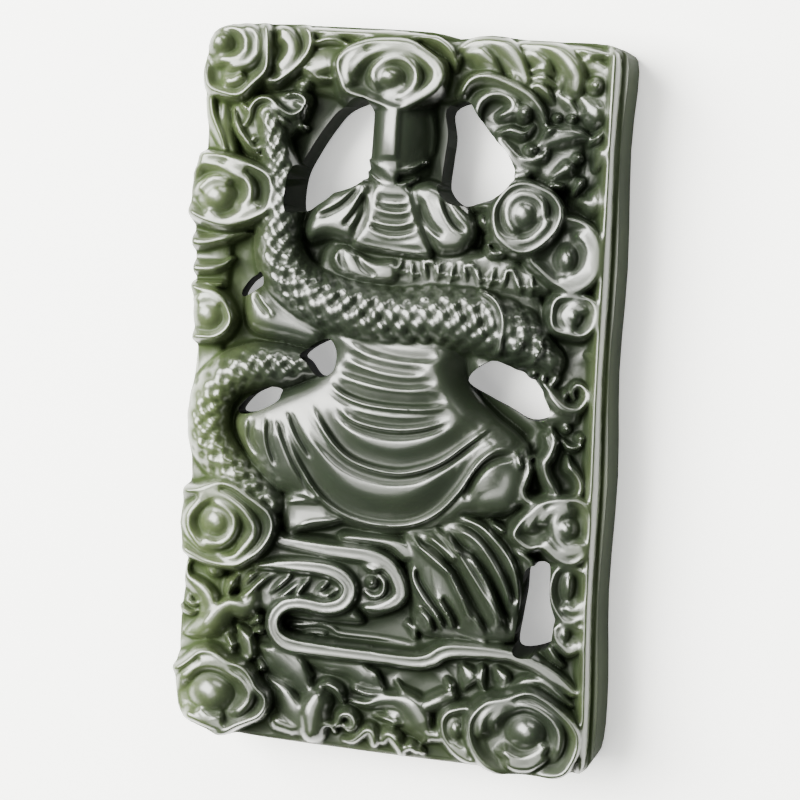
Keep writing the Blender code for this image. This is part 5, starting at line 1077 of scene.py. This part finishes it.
# the side and the insides of the openings get that darker copy of the jade as painted shade
def addMaterials(piece):  # polish on the carving, a satin finish on the side and inside the openings
    piece.data.materials.clear()
    for material in (jadeMaterial("polishedJade"), jadeMaterial("shadedSatinJade", wall=True)):
        piece.data.materials.append(material)
    low = plaque["wallTop"] * drawing["rimHeight"]
    points = piece.data.vertices
    for face in piece.data.polygons:
        if abs(face.normal.z) < plaque["wallSlope"] and min(points[k].co.z for k in face.vertices) < low:
            face.material_index = 1


def onDrawing(piece):  # where each point of the piece lies on the drawing
    places = np.empty(len(piece.data.vertices) * 3, np.float32)
    piece.data.vertices.foreach_get("co", places)
    places = places.reshape(-1, 3).astype(float)
    x, y, z = places[:, 0] / unitX + middleX, places[:, 1] / unitY + middleY, places[:, 2] / unitZ
    depth = np.where(z > drawing["rim"] / 2, drawing["rim"] - z, drawing["rim"] - drawing["ground"])
    return x + drawing["leanX"] * depth, y + drawing["leanY"] * depth, z


def softened(relief, reach):  # the relief without what is finer than the reach
    soft = Relief(relief.xs, relief.ys, 0.0)
    soft.z = relief.z.copy()
    soft.polish(reach)
    return soft.z


# the carving is shaded by the drawing's own slopes, free of the mesh's small facets
def writeNormals(piece, back):
    x, y, z = onDrawing(piece)
    slopeY, slopeX = np.gradient(softened(back, plaque["shadeReach"]), back.cell)
    across, along = back.at(x, y, slopeX), back.at(x, y, slopeY)
    normals = np.column_stack([-unitZ * unitY * across, -unitZ * unitX * along,
                               unitX * unitY * (1 + drawing["leanX"] * across + drawing["leanY"] * along)])
    normals /= np.linalg.norm(normals, axis=1)[:, None]
    close = (np.abs(back.at(x, y, back.z) - z) < plaque["shadeSlack"]) & (z > drawing["rim"] / 2)
    mesh = piece.data
    corners, faces = np.empty(len(mesh.loops) * 3, np.float32), np.empty(len(mesh.polygons) * 3, np.float32)
    mesh.corner_normals.foreach_get("vector", corners)
    mesh.polygons.foreach_get("normal", faces)
    points, counts = np.empty(len(mesh.loops), np.int32), np.empty(len(mesh.polygons), np.int32)
    mesh.loops.foreach_get("vertex_index", points)
    mesh.polygons.foreach_get("loop_total", counts)
    corners, faces = corners.reshape(-1, 3), np.repeat(faces.reshape(-1, 3), counts, axis=0)
    use = close[points] & (np.sum(normals[points] * faces, 1) > plaque["shadeFacing"])
    mesh.normals_split_custom_set(np.where(use[:, None], normals[points], corners).tolist())
    print("normals follow the drawing", round(float(use.mean()), 3))


# the depth of each point below its surroundings is kept as the mask for the painted shade in hollows
def writeHollowShade(piece, back):  # how deep each point lies below what is round it
    x, y, z = onDrawing(piece)

    def below(reach, depth, share):
        return share * np.clip((back.at(x, y, softened(back, reach)) - z) / depth, 0, 1)

    level, fall, weight = jadeLook["low"]
    low = weight * np.clip((level - z) / fall, 0, 1)
    total = below(*jadeLook["dip"]) + low + below(*jadeLook["cut"])
    hollowShade = piece.data.attributes.new("hollowShade", "FLOAT", "POINT")
    hollowShade.data.foreach_set("value", np.clip(total, 0, 1).astype(np.float32))


jadePlaque, backRelief = buildPlaque()
writeHollowShade(jadePlaque, backRelief)
writeNormals(jadePlaque, backRelief)
addMaterials(jadePlaque)
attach(jadePlaque, "root")
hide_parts("pendant")
print("jade finished")

# Floor: plain and pale
studio = {
    "floorSize": 1.2, "floorDrop": 0.0001, "floorColour": (0.97, 0.97, 0.965), "floorRoughness": 0.7,
    "floorGlow": 0.5, "worldColour": (0.94, 1.0, 0.92), "worldStrength": 0.14,
    "target": (0.000838, 0.000044, 0.007767), "azimuth": 15.213, "tilt": -6.139, "roll": 2.741,
    "distance": 0.18773, "lens": 99.0, "sensor": 36.0, "nearest": 0.01,
    "boxColour": (1.0, 1.0, 0.94),
}
bpy.ops.object.select_all(action="DESELECT")
bpy.ops.mesh.primitive_plane_add(size=studio["floorSize"], location=(0, 0, -studio["floorDrop"]))
floor = bpy.context.object
floor.name = "floor"
bpy.ops.object.transform_apply(location=True)
floorMaterial = bpy.data.materials.new("paleFloor")
floorMaterial.use_nodes = True
floorShader = floorMaterial.node_tree.nodes["Principled BSDF"]
floorShader.inputs["Base Color"].default_value = (*studio["floorColour"], 1)
floorShader.inputs["Roughness"].default_value = studio["floorRoughness"]
floorShader.inputs["Emission Color"].default_value = (1, 1, 1, 1)
floorShader.inputs["Emission Strength"].default_value = studio["floorGlow"]
floor.data.materials.append(floorMaterial)

# Camera at the photograph's angle
azimuth, tilt, roll = (math.radians(studio[key]) for key in ("azimuth", "tilt", "roll"))
back = Vector((math.sin(azimuth) * math.cos(tilt), -math.sin(tilt), math.cos(azimuth) * math.cos(tilt)))
across = Vector((0, 1, 0)).cross(back).normalized()
upward = back.cross(across)
right = across * math.cos(roll) + upward * math.sin(roll)
up = upward * math.cos(roll) - across * math.sin(roll)
camera = bpy.data.objects.new("camera", bpy.data.cameras.new("camera"))
bpy.context.scene.collection.objects.link(camera)
camera.data.lens = studio["lens"]
camera.data.sensor_width = studio["sensor"]
camera.data.clip_start = studio["nearest"]
camera.location = Vector(studio["target"]) + back * studio["distance"]
camera.rotation_mode = "QUATERNION"
camera.rotation_quaternion = Matrix((right, up, back)).transposed().to_quaternion()
bpy.context.scene.camera = camera


# Lights: a wide soft box at the upper left, a weak one overhead and a strip beyond the top
def addSoftBox(name, direction, distance, sizeX, sizeY, power):
    light = bpy.data.lights.new(name, "AREA")
    light.shape, light.size, light.size_y = "RECTANGLE", sizeX, sizeY
    light.energy, light.color = power, studio["boxColour"]
    box = bpy.data.objects.new(name, light)
    bpy.context.scene.collection.objects.link(box)
    box.location = Vector(direction).normalized() * distance
    box.rotation_mode = "QUATERNION"
    box.rotation_quaternion = Vector(direction).normalized().to_track_quat("Z", "Y")


addSoftBox("keyBox", (-0.60, 0.24, 0.76), 0.6, 0.46, 0.5, 26.0)
addSoftBox("overBox", (-0.26, -0.16, 0.94), 0.75, 0.5, 0.56, 5.5)
addSoftBox("topBox", (0.20, 0.80, 0.60), 0.7, 0.5, 0.16, 4.0)
world = bpy.data.worlds.new("studio")
world.use_nodes = True
world.node_tree.nodes["Background"].inputs["Color"].default_value = (*studio["worldColour"], 1)
world.node_tree.nodes["Background"].inputs["Strength"].default_value = studio["worldStrength"]
bpy.context.scene.world = world
print("stage set")
